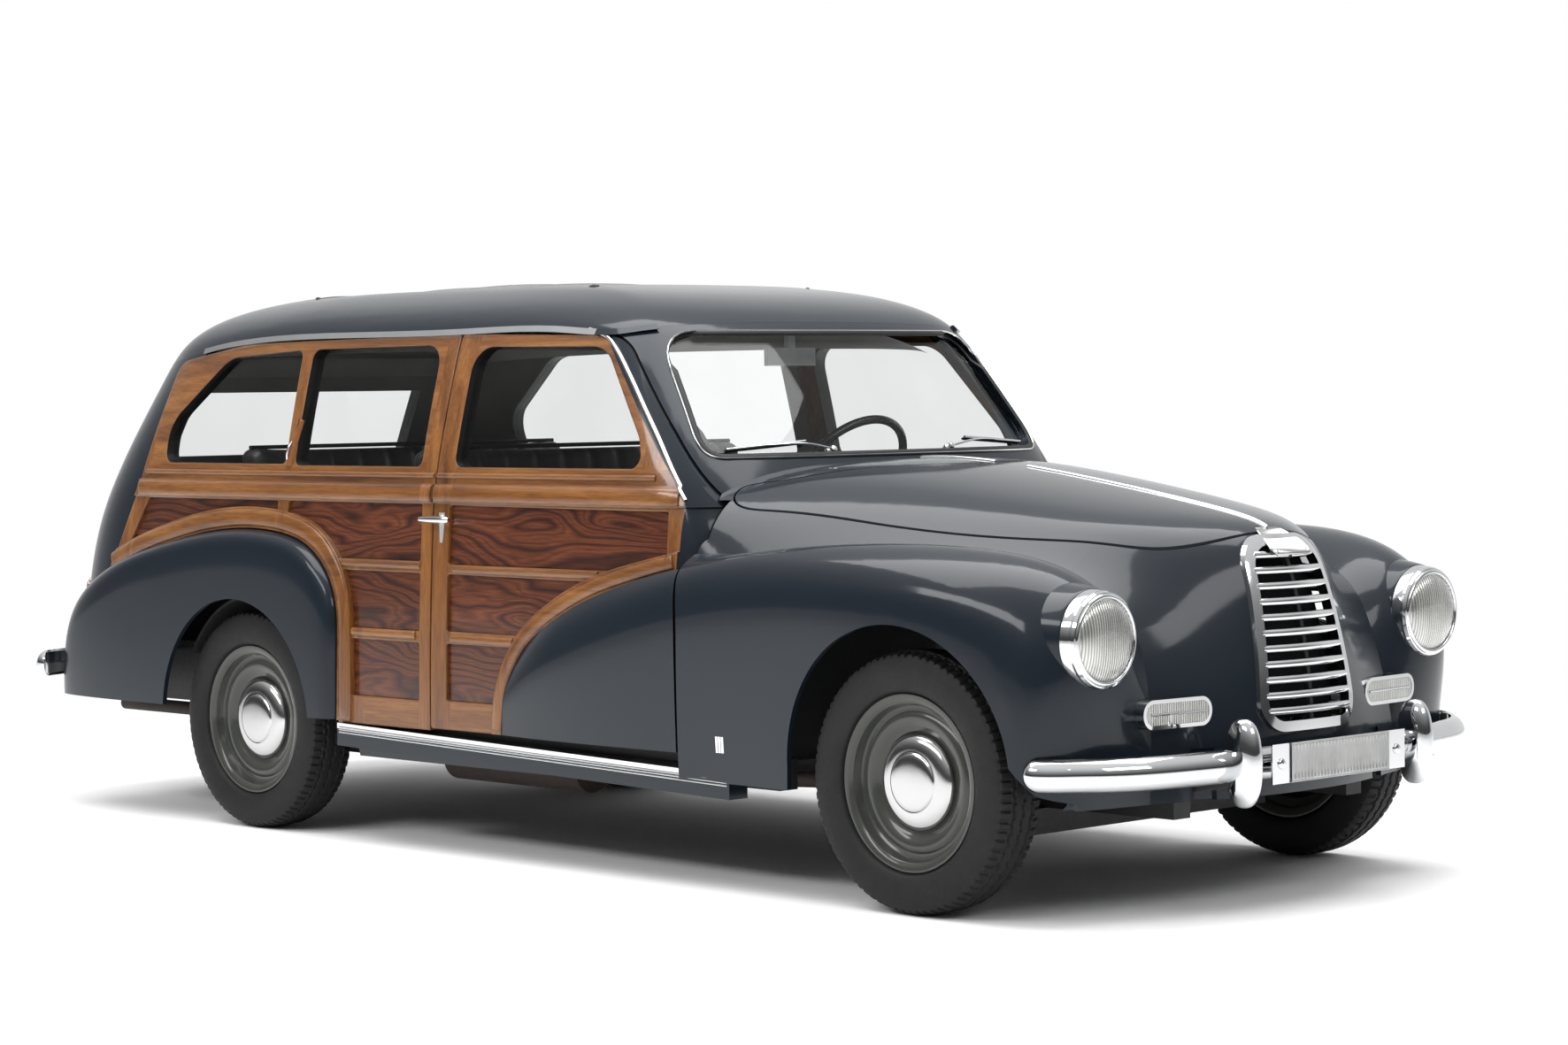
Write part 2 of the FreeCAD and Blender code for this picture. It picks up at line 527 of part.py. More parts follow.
def rear_wing_place(angle, reach, across):
    turn = math.radians(angle)
    return spot(TAIL * reach * math.cos(turn), HALF * across, AXLE_UP + TAIL * reach * math.sin(turn))


def rear_wing_grid():
    grid = []
    for inward, across, weight in WING_LEVEL_SHARES:
        line = []
        for angle, reach in WING_RIM_SHARES:
            tuck = WING_TUCK_SHARES.get(angle, 0) * weight
            line.append(rear_wing_place(angle, reach * inward, across * (1 - tuck)))
        grid.append(line)
    return grid


REAR_WING_OUT = rear_wing_grid()
REAR_STEPS = poles_inward(REAR_WING_OUT, 1)
if REAR_STEPS[4][8].y > 0:
    REAR_STEPS = poles_inward(REAR_WING_OUT, -1)
rear_skin = solid_between(REAR_WING_OUT, moved(REAR_WING_OUT, REAR_STEPS, STEEL))


def arch_zone(grow):
    """Everything inside the rim of the rear wing, in side view."""
    line = [rear_wing_place(angle, reach + grow / TAIL, 0) for angle, reach in WING_RIM_SHARES]
    curve = Part.BSplineCurve()
    curve.buildFromPolesMultsKnots(line, repeats(len(line), 3), knots(len(line), 3), False, 3)
    begin, end = line[0], line[-1]
    rim = Part.makePolygon([end, Vector(end.x, 0, 0), Vector(begin.x, 0, 0), begin])
    return Part.Face(Part.Wire([curve.toShape()] + rim.Edges)).extrude(LEFT * OUTSIDE)


arch_space = arch_zone(SEAT)
wheel_hole = Part.makeCylinder(size("rear_arch_radius"), OUTSIDE, spot(0, 0, AXLE_UP), LEFT)
below_wing = block(-WHEELBASE, WHEELBASE, 0, OUTSIDE, 0, size("wing_bottom"))
rear_wing = one_solid(rear_skin.cut(fused([wheel_hole, below_wing])))

# Wood sides behind the doors
quarter = side_wall.common(side_prism(quarter_wire(QUARTER_OUTLINE_SHARES), INSIDE, OUTSIDE))
for shares in (REAR_WINDOW_SHARES, MIDDLE_WINDOW_SHARES):
    quarter = quarter.cut(side_prism(quarter_wire(shares), INSIDE, OUTSIDE))
quarter = one_solid(quarter.cut(arch_space).cut(roof_space))
PROUD = size("moulding_proud")
pocket_slab = cabin_slab(-2 * PROUD, size("pocket_depth"))
moulding_slab = cabin_slab(-PROUD, PROUD)
veneer_slab = cabin_slab(size("veneer_depth"), size("pocket_depth") - SEAT)
QUARTER_POCKET_SHARES = [
    [(0.078, 0.446), (0.136, 0.571), (0.560, 0.571), (0.560, 0.446)],
    [(0.590, 0.426), (0.590, 0.571), (0.972, 0.571), (0.972, 0.426)],
    [(0.700, 0.248), (0.700, 0.396), (0.972, 0.396), (0.972, 0.248)],
    [(0.700, 0.073), (0.700, 0.220), (0.972, 0.220), (0.972, 0.073)]]
DOOR_POCKET_SHARES = [
    [(0.065, 0.417), (0.065, 0.567), (0.912, 0.562), (0.918, 0.417)],
    [(0.065, 0.248), (0.065, 0.393), (0.662, 0.389), (0.662, 0.248)],
    [(0.065, 0.073), (0.065, 0.218), (0.360, 0.218), (0.360, 0.073)]]
DOOR_ARCH_SHARES = [(1.02, 0.478), (0.935, 0.464), (0.824, 0.442), (0.678, 0.409), (0.569, 0.372), (0.462, 0.320),
                    (0.372, 0.259), (0.327, 0.209), (0.293, 0.154), (0.273, 0.099), (0.262, 0.0)]
WING_EDGE_SHARES = [(1.10, 0.431), (1.000, 0.430), (0.903, 0.413), (0.717, 0.367), (0.589, 0.325), (0.494, 0.282),
                    (0.415, 0.239), (0.359, 0.184), (0.325, 0.127), (0.306, 0.068), (0.302, -0.02)]


def pocket_prisms(wire_of, shares_list, grow, outside_of):
    """The outlines of the sunk panels in side view, less the moulding that crosses them."""
    rounded = [[(a, b, size("pocket_round") / TAIL) for a, b in shares] for shares in shares_list]
    return [side_prism(wire_of(shares, grow), INSIDE, OUTSIDE).cut(outside_of) for shares in rounded]


def under_curve(shares, grow):
    """Everything forward of and below a curve drawn on the door in side view."""
    wide, tall = DOOR_FRONT - DOOR_REAR, DOOR_TOP - SILL
    drawn = [spot(DOOR_REAR + a * wide, 0, SILL + b * tall) for a, b in shares]
    points = []
    for index, point in enumerate(drawn):
        along = drawn[min(index + 1, len(drawn) - 1)] - drawn[max(index - 1, 0)]
        points.append(point + Vector(along.z, 0, -along.x).normalize() * grow)
    line = Part.BSplineCurve()
    line.interpolate(points)
    ends = [points[-1], points[-1] - UP * OVER, Vector(points[0].x, 0, points[-1].z - OVER), points[0]]
    return Part.Face(Part.Wire([line.toShape()] + Part.makePolygon(ends).Edges)).extrude(LEFT * OUTSIDE)


def belt(x_low, x_high):
    return block(x_low, x_high, INSIDE, OUTSIDE, size("belt_low"), size("belt_high"))


arch_band = arch_zone(size("arch_band"))
quarter_whole = side_prism(quarter_wire(QUARTER_OUTLINE_SHARES), INSIDE, OUTSIDE)
arch_rim = arch_band.cut(block(-WHEELBASE, WHEELBASE, -WHOLE, WHOLE, 0, SILL)).common(quarter_whole).cut(arch_space)
raised = moulding_slab.common(fused([arch_rim, belt(QUARTER_REAR, WHEELBASE).common(quarter_whole)]))
pockets = pocket_prisms(quarter_wire, QUARTER_POCKET_SHARES, 0, arch_band)
quarter = quarter.fuse(raised).cut(pocket_slab.common(fused(pockets)))
quarter = one_solid(quarter.removeSplitter())
keep("quarter_left", quarter)
keep("quarter_right", mirrored(quarter))
veneers = [one_solid(veneer_slab.common(prism))
           for prism in pocket_prisms(quarter_wire, QUARTER_POCKET_SHARES, -SEAT, arch_zone(size("arch_band") + SEAT))]
keep("side_veneers", Part.makeCompound(veneers + [mirrored(shape) for shape in veneers]))
panes = [glass_sheet.common(side_prism(quarter_wire(shares, -SEAT), INSIDE, OUTSIDE))
         for shares in (REAR_WINDOW_SHARES, MIDDLE_WINDOW_SHARES)]
keep("quarter_glass", Part.Compound([one_solid(pane) for pane in panes]
                                    + [mirrored(one_solid(pane)) for pane in panes]))

# Doors
door = side_wall.common(side_prism(door_wire(DOOR_OUTLINE_SHARES), INSIDE, OUTSIDE))
door_window = side_prism(door_wire(DOOR_WINDOW_SHARES), INSIDE, OUTSIDE)
door = one_solid(door.cut(door_cut).cut(door_window))
door_glass = one_solid(glass_sheet.common(side_prism(door_wire(DOOR_WINDOW_SHARES, -SEAT), INSIDE, OUTSIDE)))
door_band = under_curve(DOOR_ARCH_SHARES, 0)
wing_side = under_curve(WING_EDGE_SHARES, 0)
door_whole = side_prism(door_wire(DOOR_OUTLINE_SHARES), INSIDE, OUTSIDE).cut(door_cut)
door_raised = fused([door_band.cut(under_curve(WING_EDGE_SHARES, SEAT)), belt(DOOR_REAR, HINGE_X)])
door_raised = moulding_slab.common(door_raised.common(door_whole).cut(door_window))
door_pockets = pocket_slab.common(fused(pocket_prisms(door_wire, DOOR_POCKET_SHARES, 0, door_band)))
door = one_solid(door.fuse(door_raised).cut(door_pockets).removeSplitter())
door_veneers = [one_solid(veneer_slab.common(prism)) for prism in
                pocket_prisms(door_wire, DOOR_POCKET_SHARES, -SEAT, under_curve(DOOR_ARCH_SHARES, SEAT))]
cabin_block = solid_between(moved(CABIN_OUT, CABIN_STEPS, -SEAT), moved(CABIN_OUT, CABIN_STEPS, 2 * OVER))
skin_zone = side_prism(door_wire(DOOR_OUTLINE_SHARES), INSIDE, OUTSIDE).cut(door_cut)
door_skin = one_solid(wing_skin.common(skin_zone).common(wing_side).cut(cabin_block))
for label, shape in (("door", door), ("door_glass", door_glass), ("door_wing_tail", door_skin),
                     ("door_veneer", Part.makeCompound(door_veneers))):
    keep(label + "_left", shape)
    keep(label + "_right", mirrored(shape))

# Front wings
ARCH_UP = size("front_arch_up")
ARCH_R = size("front_arch_radius")
arch_ring = Part.makeCylinder(ARCH_R, OVER * 5, spot(WHEELBASE - STEEL, HALF - 2 * OVER, ARCH_UP), LEFT)
ARCH_FOOT_SHARES = [(-1.0, 0), (-1.03, -0.5), (-1.03, -1.0), (1.40, -1.0), (1.40, -0.16), (1.15, -0.06), (0.99, 0.12)]
foot = [spot(WHEELBASE - STEEL + a * ARCH_R, HALF - 2 * OVER, ARCH_UP + b * ARCH_R) for a, b in ARCH_FOOT_SHARES]
arch_foot = Part.Face(Part.makePolygon(foot + foot[:1])).extrude(LEFT * 5 * OVER)
front_wing = one_solid(wing_skin.cut(fused([below_space, arch_ring, arch_foot])))

# Bonnet, nose and scuttle
BONNET_SHARES = [(0.270, 0.0), (0.219, 0.25), (0.138, 0.475), (0.060, 0.650), (0.022, 0.715), (0.030, 0.770),
                 (0.123, 0.765), (0.343, 0.669), (0.563, 0.575), (0.725, 0.475), (0.828, 0.362),
                 (0.879, 0.225), (0.900, 0.112), (0.905, 0.0)]


def bonnet_prism(grow):
    """The bonnet's outline in plan, moved square to itself, through the full height."""
    half = [(DOOR_FRONT + a * FRONT_SPAN, b * HALF) for a, b in BONNET_SHARES]
    ring = half + [(x, -y) for x, y in reversed(half[1:-1])]
    middle = Vector(sum(x for x, y in ring) / len(ring), 0, 0)
    points = []
    for index, (x, y) in enumerate(ring):
        before, after = ring[index - 1], ring[(index + 1) % len(ring)]
        out = Vector(after[1] - before[1], before[0] - after[0], 0).normalize()
        if out.dot(Vector(x, y, 0) - middle) < 0:
            out = out * -1
        points.append(spot(x, y, 0) + out * grow)
    curve = Part.BSplineCurve()
    curve.interpolate(Points=points, PeriodicFlag=True)
    return Part.Face(Part.Wire(curve.toShape())).extrude(UP * ROOF)


inner_whole = inner_skin.fuse(mirrored(inner_skin)).removeSplitter()
bonnet = one_solid(inner_whole.common(bonnet_prism(0)))
keep("bonnet", bonnet)
around = inner_whole.cut(bonnet_prism(GAP))
NOSE_SPLIT = DOOR_FRONT + size("nose_split_share_of_span") * FRONT_SPAN
nose_zone = block(NOSE_SPLIT, WHEELBASE + 2 * size("nose_overhang"), -WHOLE, WHOLE, 0, ROOF)
nose = one_solid(around.common(nose_zone))
scuttle_zone = block(DOOR_FRONT - size("cowl_lap"), NOSE_SPLIT, -WHOLE, WHOLE, 0, ROOF)
pillar_zone = block(DOOR_REAR, SCREEN + OVER, 0, OUTSIDE, size("pillar_foot"), ROOF)
door_clear = fused([door_space, below_space])
pillar = side_wall.common(pillar_zone).cut(door_clear).cut(roof_space)
SCREEN_SHARES = [(1.0, 0, 0.18), (-1.0, 0, 0.18), (-0.895, 1.0, 0.28), (0.895, 1.0, 0.28)]


def screen_prism(grow):
    low, high, half = size("screen_low"), size("screen_high"), size("screen_half_width")
    tall = high - low
    corners = [(a * half, low + b * tall, c * tall) for a, b, c in SCREEN_SHARES]
    return along_prism(front_wire(corners, WHEELBASE / 2, grow), WHEELBASE / 2)


both_pillars = fused([pillar, mirrored(pillar)]).cut(screen_prism(0))
cowl = around.common(scuttle_zone).cut(door_clear).cut(mirrored(door_clear))
scuttle = one_solid(fused([cowl, both_pillars]))
glass_whole = glass_sheet.fuse(mirrored(glass_sheet)).removeSplitter()
screen_glass = glass_whole.common(screen_prism(-SEAT)).cut(block(-WHEELBASE, DOOR_REAR, -WHOLE, WHOLE, 0, ROOF))
keep("windscreen", one_solid(screen_glass))

# Tail with two gates
TAIL_ZONE = block(-2 * TAIL, QUARTER_REAR / 2, 0, OUTSIDE, size("tail_bottom"), ROOF)
quarter_space = side_prism(quarter_wire(QUARTER_OUTLINE_SHARES, SEAT), INSIDE, OUTSIDE)
corner = side_wall.common(TAIL_ZONE).cut(quarter_space).cut(roof_space).cut(arch_space)
GATE_TOP = size("gate_top")
GATE_BOTTOM = size("gate_bottom")
GATE_SPLIT = size("gate_split")
GATE_HINGE = spot(-size("gate_hinge_reach"), 0, GATE_BOTTOM)
GATE_HALF = size("gate_half_width")
LEAN = size("gate_lean_share")
ROUND = size("gate_round")


def gate_prism(low, high, grow, round_low=0, round_high=0):
    """A gate's outline in rear view, narrower towards the roof, through the tail."""
    corners = [(side * (GATE_HALF - LEAN * (level - GATE_BOTTOM)), level, radius)
               for side, level, radius in ((1, low, round_low), (-1, low, round_low),
                                           (-1, high, round_high), (1, high, round_high))]
    return along_prism(front_wire(corners, -2 * TAIL, grow), 2 * TAIL)


gate_hole = gate_prism(GATE_BOTTOM, GATE_TOP, GAP, ROUND, ROUND)
tail_frame = fused([corner, mirrored(corner)]).cut(gate_hole)
wall_whole = fused([side_wall, mirrored(side_wall)]).common(
    block(-2 * TAIL, QUARTER_REAR / 2, -OUTSIDE, OUTSIDE, 0, ROOF))


def swing(radius):
    """The space that the lower gate sweeps about its hinge line."""
    return Part.makeCylinder(radius, 2 * WHOLE, GATE_HINGE - LEFT * WHOLE, LEFT)


upper = wall_whole.common(gate_prism(GATE_SPLIT - OVER, GATE_TOP, 0, 0, ROUND)).cut(swing(size("gate_radius") + GAP))
lower = wall_whole.common(gate_prism(GATE_BOTTOM, GATE_SPLIT + OVER, 0, ROUND, 0)).common(swing(size("gate_radius")))
rim = size("gate_rim")
pane_hole = gate_prism(GATE_SPLIT + GAP / 2, GATE_TOP, -rim, ROUND / 2, ROUND)
keep("tailgate_upper", one_solid(upper.cut(pane_hole)))
pane = glass_whole.common(gate_prism(GATE_SPLIT + GAP / 2, GATE_TOP, -rim - SEAT, ROUND / 2, ROUND))
keep("tailgate_glass", one_solid(pane.common(block(-2 * TAIL, 0, -WHOLE, WHOLE, 0, ROOF))))
stile = size("gate_stile")
both = cabin_slab(-OVER, size("pocket_depth")).common(TAIL_ZONE)
gate_pocket = gate_prism(GATE_BOTTOM, GATE_SPLIT - stile / 2, -stile, ROUND / 2, ROUND / 2)
gate_pocket = gate_pocket.cut(block(-2 * TAIL, 0, -stile, stile / 2, 0, ROOF))
gate_pocket = both.common(gate_pocket)
lower = lower.cut(fused([gate_pocket, mirrored(gate_pocket)]))
keep("tailgate_lower", one_solid(lower))
gate_veneer = gate_prism(GATE_BOTTOM, GATE_SPLIT - stile / 2, -stile - SEAT, ROUND / 2, ROUND / 2)
gate_veneer = gate_veneer.cut(block(-2 * TAIL, 0, -WHOLE, stile / 2 + SEAT, 0, ROOF)).common(veneer_slab)
gate_veneer = one_solid(gate_veneer.common(TAIL_ZONE))
keep("tailgate_veneer", Part.makeCompound([gate_veneer, mirrored(gate_veneer)]))


# Floor, frame and bulkhead
FLOOR = size("floor_top")
PLATE = size("floor_wall")
LOAD = size("load_floor_top")
STEP_X = size("step_ahead")
BULK_X = size("bulkhead_ahead")
FLOOR_HALF = size("floor_half_width")
RAIL_IN = size("rail_side")
RAIL_W = size("rail_width")
RAIL_T = size("rail_depth")
HOUSE = size("wheelhouse_side")
floor = [
    block(STEP_X, BULK_X, -FLOOR_HALF, FLOOR_HALF, FLOOR - PLATE, FLOOR),
    block(STEP_X, STEP_X + PLATE, -FLOOR_HALF, FLOOR_HALF, FLOOR - PLATE, LOAD),
    block(-size("load_wide_reach"), STEP_X + PLATE, -FLOOR_HALF, FLOOR_HALF, LOAD - PLATE, LOAD),
    block(-size("load_reach"), STEP_X, -size("load_end_half"), size("load_end_half"), LOAD - PLATE, LOAD),
    block(BULK_X, BULK_X + PLATE, -size("bulkhead_half_width"), size("bulkhead_half_width"),
          FLOOR - PLATE, size("bulkhead_top")),
]
rails, sills, houses = [], [], []
for side in (-1, 1):
    low, high = sorted((side * RAIL_IN, side * (RAIL_IN + RAIL_W)))
    rails.append(block(STEP_X + PLATE, size("rail_reach"), low, high, FLOOR - PLATE - RAIL_T, FLOOR - PLATE))
    rails.append(block(-size("load_reach"), STEP_X, low, high, LOAD - PLATE - RAIL_T, LOAD - PLATE))
    low, high = sorted((side * FLOOR_HALF, side * (FLOOR_HALF - size("sill_width"))))
    sills.append(block(STEP_X + OVER, DOOR_FRONT + size("sill_lap"), low, high, size("sill_bottom"), SILL - GAP))
keep("frame_rails", Part.makeCompound(rails + sills))
floor = fused(floor).cut(fused(sills))
for side in (-1, 1):
    well = Part.makeCylinder(size("rear_arch_radius") + PLATE, HALF - HOUSE, spot(0, side * HOUSE, AXLE_UP), LEFT * side)
    hole = Part.makeCylinder(size("rear_arch_radius"), HALF, spot(0, side * (HOUSE + PLATE), AXLE_UP), LEFT * side)
    skirt = block(-WHEELBASE, WHEELBASE, -WHOLE, WHOLE, 0, LOAD - 2 * PLATE)
    rim_cut = block(-WHEELBASE, WHEELBASE, FLOOR_HALF, WHOLE, 0, ROOF)
    well = well.cut(skirt).cut(rim_cut if side > 0 else mirrored(rim_cut)).cut(hole)
    way = Part.makeCylinder(size("rear_arch_radius") + PLATE, HALF, spot(0, side * HOUSE, AXLE_UP), LEFT * side)
    floor = floor.cut(way)
    houses.append(one_solid(well))
keep("floor_pan", one_solid(floor.removeSplitter()))
keep("wheelhouses", Part.makeCompound(houses))

# Engine, axles, exhaust and tank
bound_block("engine", "Sizes.engine_rear", "Sizes.engine_front", "-Sizes.engine_half_width", "Sizes.engine_half_width",
            "Sizes.engine_bottom", "Sizes.engine_top")
bound_block("fuel_tank", "-Sizes.tank_rear", "-Sizes.tank_front", "-Sizes.tank_half_width", "Sizes.tank_half_width",
            "Sizes.tank_bottom", "Sizes.load_floor_top - Sizes.floor_wall - Sizes.seat_gap")
STUB_R = size("stub_radius")
HUB_IN = size("hub_inner")
rear_side = size("track_rear") / 2
tube = Part.makeCylinder(size("axle_tube_radius"), 2 * (rear_side - HUB_IN - SEAT), spot(0, HUB_IN + SEAT - rear_side, AXLE_UP), LEFT)
casing = Part.makeSphere(size("casing_radius"), spot(0, 0, AXLE_UP))
stubs = Part.makeCylinder(STUB_R, 2 * (rear_side + size("stub_reach")), spot(0, -rear_side - size("stub_reach"), AXLE_UP), LEFT)
springs = []
for side in (-1, 1):
    y = side * size("spring_side")
    half_leaf = size("leaf_width") / 2
    springs.append(block(-size("spring_half_length"), size("spring_half_length"), y - half_leaf, y + half_leaf,
                         size("spring_up"), size("spring_up") + size("leaf_depth")))
    springs.append(block(-2 * half_leaf, 2 * half_leaf, y - half_leaf, y + half_leaf, size("spring_up"), AXLE_UP))
    for end in (-1, 1):
        x = end * (size("spring_half_length") - half_leaf)
        springs.append(block(x - half_leaf, x + half_leaf, y - half_leaf, y + half_leaf,
                             size("spring_up"), LOAD - PLATE - SEAT if end < 0 or x < STEP_X else FLOOR - PLATE - SEAT))
keep("rear_axle", one_solid(fused([tube, casing, stubs] + springs)))

FRONT_SIDE = size("track_front") / 2
PIN_Y = size("kingpin_side")
PIN_R = size("kingpin_radius")
PIN_UP = size("kingpin_length")
beam = [block(WHEELBASE - size("beam_half_width"), WHEELBASE + size("beam_half_width"), -RAIL_IN - 3 * RAIL_W, RAIL_IN + 3 * RAIL_W,
              size("beam_bottom"), FLOOR - PLATE - RAIL_T - SEAT)]
for side in (-1, 1):
    for level in (-1, 1):
        z = AXLE_UP + level * (PIN_UP / 2 + size("arm_depth") / 2 + SEAT)
        arm_start = RAIL_IN if level > 0 else RAIL_IN + RAIL_W + SEAT
        low, high = sorted((side * arm_start, side * (PIN_Y + PIN_R)))
        arm = block(WHEELBASE - size("arm_half_width"), WHEELBASE + size("arm_half_width"), low, high,
                    z - size("arm_depth") / 2, z + size("arm_depth") / 2)
        beam.append(arm)
    post_low, post_high = sorted((side * RAIL_IN, side * (RAIL_IN - RAIL_W)))
    beam.append(block(WHEELBASE - size("arm_half_width"), WHEELBASE + size("arm_half_width"), post_low, post_high,
                      AXLE_UP - PIN_UP / 2 - size("arm_depth"), AXLE_UP + PIN_UP / 2 + size("arm_depth")))
for label, side in (("left", 1), ("right", -1)):
    pin = Part.makeCylinder(PIN_R, PIN_UP, spot(WHEELBASE, side * PIN_Y, AXLE_UP - PIN_UP / 2), UP)
    stub = Part.makeCylinder(STUB_R, FRONT_SIDE + size("stub_reach") - PIN_Y, spot(WHEELBASE, side * PIN_Y, AXLE_UP), LEFT * side)
    keep("knuckle_" + label, fused([pin, stub]))
front_beam = fused(beam)
keep("front_axle_beam", one_solid(front_beam))

pipe_r = size("pipe_radius")
EXHAUST_SHARES = [(0.86, -0.55, 0.85), (0.55, -0.56, 0.70), (-0.12, -0.545, 0.70), (-0.28, -0.545, 0.90), (-0.413, -0.545, 0.90)]
route = [spot(a * WHEELBASE, b * HALF, c * AXLE_UP) for a, b, c in EXHAUST_SHARES]


def bent_path(points, radius):
    """Straight runs joined by tangent arcs."""
    edges = []
    start = points[0]
    for before, here, after in zip(points, points[1:], points[2:]):
        back = (before - here).normalize()
        ahead = (after - here).normalize()
        half = back.getAngle(ahead) / 2
        reach = radius / math.tan(half)
        top = here + (back + ahead).normalize() * (radius / math.sin(half) - radius)
        edges.append(Part.LineSegment(start, here + back * reach).toShape())
        edges.append(Part.Arc(here + back * reach, top, here + ahead * reach).toShape())
        start = here + ahead * reach
    edges.append(Part.LineSegment(start, points[-1]).toShape())
    return Part.Wire(edges)


def tube_along(points, bend, radius):
    path = bent_path(points, bend)
    circle = Part.Wire(Part.makeCircle(radius, points[0], points[1] - points[0]))
    return path.makePipeShell([circle], True, False)


box_way = (route[2] - route[1]).normalize()
box_start = route[1] + box_way * size("silencer_back")
silencer = Part.makeCylinder(size("silencer_radius"), size("silencer_length"), box_start, box_way)
hanger = box_start + box_way * (size("silencer_length") / 2) - Vector(pipe_r / 2, pipe_r / 2, 0)
hanger = Part.makeBox(pipe_r, pipe_r, FLOOR - PLATE - SEAT - hanger.z, hanger)
tail_hook = route[4] + ALONG * size("silencer_length") / 3 - Vector(pipe_r / 2, pipe_r / 2, 0)
tail_hook = Part.makeBox(pipe_r, pipe_r, LOAD - PLATE - SEAT - tail_hook.z, tail_hook)
keep("exhaust", one_solid(fused([tube_along(route, 4 * pipe_r, pipe_r), silencer, hanger, tail_hook])))

# Wheels and tyres, as sections of radius and distance outward from the tyre's middle
WHEEL_SHARES = [
    (0, 0.92), (0.27, 0.86), (0.46, 0.71), (0.55, 0.51), (0.55, 0.34), (0.59, 0.34), (0.68, 0.54), (0.77, 0.58),
    (0.815, 0.475), (0.883, 0.54), (0.903, 0.85), (0.97, 1.0), (1.01, 1.0), (1.01, 0.915), (0.937, 0.88),
    (0.922, 0.51), (0.825, 0.34), (0.825, -0.34), (0.922, -0.51), (0.937, -0.88), (1.01, -0.915), (1.01, -1.0),
    (0.97, -1.0), (0.903, -0.85), (0.883, -0.51), (0.79, -0.34), (0.79, 0.14), (0.73, 0.41), (0.67, 0.37),
    (0.58, 0.15), (0.29, 0.15), (0.29, -0.51)]
TYRE_SHARES = [(0.618, 0.40), (0.626, 0.68), (0.680, 0.70), (0.775, 0.985), (0.868, 1.0), (0.965, 0.86), (0.992, 0.55)]
RIM_R = size("rim_radius")
RIM_HALF = size("rim_width") / 2
TYRE_HALF = size("tyre_width") / 2
BORE_R = STUB_R + SEAT
rim_section = [(a * RIM_R, b * RIM_HALF) for a, b in WHEEL_SHARES]
rim_section += [(BORE_R, rim_section[-1][1]), (BORE_R, size("stub_reach") + SEAT), (0, size("stub_reach") + SEAT)]
tyre_half_section = [(a * AXLE_UP, b * TYRE_HALF) for a, b in TYRE_SHARES]
tyre_section = tyre_half_section + [(AXLE_UP, 0)] + [(r, -a) for r, a in reversed(tyre_half_section)]


def turned(section, centre, side):
    """A section of (radius, outward) pairs turned round the wheel's axis."""
    points = [centre + ALONG * r + LEFT * (side * a) for r, a in section]
    return Part.Face(Part.makePolygon(points + points[:1])).revolve(centre, LEFT, 360)


def turned_flats(section, centre, side, count):
    """The same ring in a number of flats, with a corner straight below its centre."""
    rings = []
    for step in range(count):
        angle = 2 * math.pi * step / count
        out = ALONG * math.sin(angle) - UP * math.cos(angle)
        rings.append([centre + out * r + LEFT * (side * a) for r, a in section])
    faces = []
    for here, after in zip(rings, rings[1:] + rings[:1]):
        for index in range(len(section)):
            flat = [here[index - 1], here[index], after[index], after[index - 1]]
            faces.append(Part.Face(Part.makePolygon(flat + flat[:1])))
    shell = Part.Shell(faces)
    shell.sewShape()
    ring = Part.Solid(shell)
    if ring.Volume < 0:
        ring.reverse()
    return ring


for label, x, y in (("front_left", WHEELBASE, FRONT_SIDE), ("front_right", WHEELBASE, -FRONT_SIDE),
                    ("rear_left", 0, rear_side), ("rear_right", 0, -rear_side)):
    side = 1 if y > 0 else -1
    keep("wheel_" + label, turned(rim_section, spot(x, y, AXLE_UP), side))
    keep("tyre_" + label, turned_flats(tyre_section, spot(x, y, AXLE_UP), side, int(size("tyre_flats"))))

# Cabin fittings
SEAT_HALF = size("bench_half_width")
for label, front, base in (("front_bench", size("front_bench_front"), FLOOR), ("rear_bench", size("rear_bench_front"), LOAD)):
    deep = size("bench_depth")
    high = base + size("cushion_top") - (LOAD - FLOOR) * size("rear_drop_share") * (base == LOAD)
    cushion = block(front - deep, front, -SEAT_HALF, SEAT_HALF, high - size("cushion_wall"), high)
    back = block(front - deep - size("back_wall"), front - deep, -SEAT_HALF, SEAT_HALF, high - size("cushion_wall"), size("back_top"))
    foot = block(front - deep + OVER, front - 2 * OVER, -SEAT_HALF + 2 * OVER, SEAT_HALF - 2 * OVER, base + SEAT, high - size("cushion_wall"))
    keep(label, fused([cushion, back, foot]))
bound_block("dashboard", "Sizes.dash_rear", "Sizes.dash_front", "-Sizes.dash_half_width", "Sizes.dash_half_width",
            "Sizes.dash_bottom", "Sizes.dash_top")
wheel_centre = spot(size("steer_ahead"), size("steer_side"), size("steer_up"))
column_end = spot(size("column_ahead"), size("steer_side"), size("column_up"))
column_way = (column_end - wheel_centre).normalize()
shaft = Part.makeCylinder(size("shaft_radius"), wheel_centre.distanceToPoint(column_end), wheel_centre, column_way)
ring = Part.makeTorus(size("steer_radius"), size("steer_grip"), wheel_centre, column_way)
across = Part.makeCylinder(size("steer_grip") / 2, 2 * size("steer_radius"), wheel_centre - LEFT * size("steer_radius"), LEFT)
boss = Part.makeCylinder(3 * size("shaft_radius"), 3 * size("steer_grip"), wheel_centre - column_way * size("steer_grip"), column_way)
keep("steering_wheel", fused([shaft, ring, across, boss]))
sleeve_start = wheel_centre + column_way * size("sleeve_gap")
sleeve_long = sleeve_start.distanceToPoint(column_end)
sleeve = Part.makeCylinder(size("sleeve_radius"), sleeve_long, sleeve_start, column_way)
sleeve = sleeve.cut(Part.makeCylinder(size("shaft_radius") + SEAT, sleeve_long, sleeve_start, column_way))
keep("steering_column", sleeve)

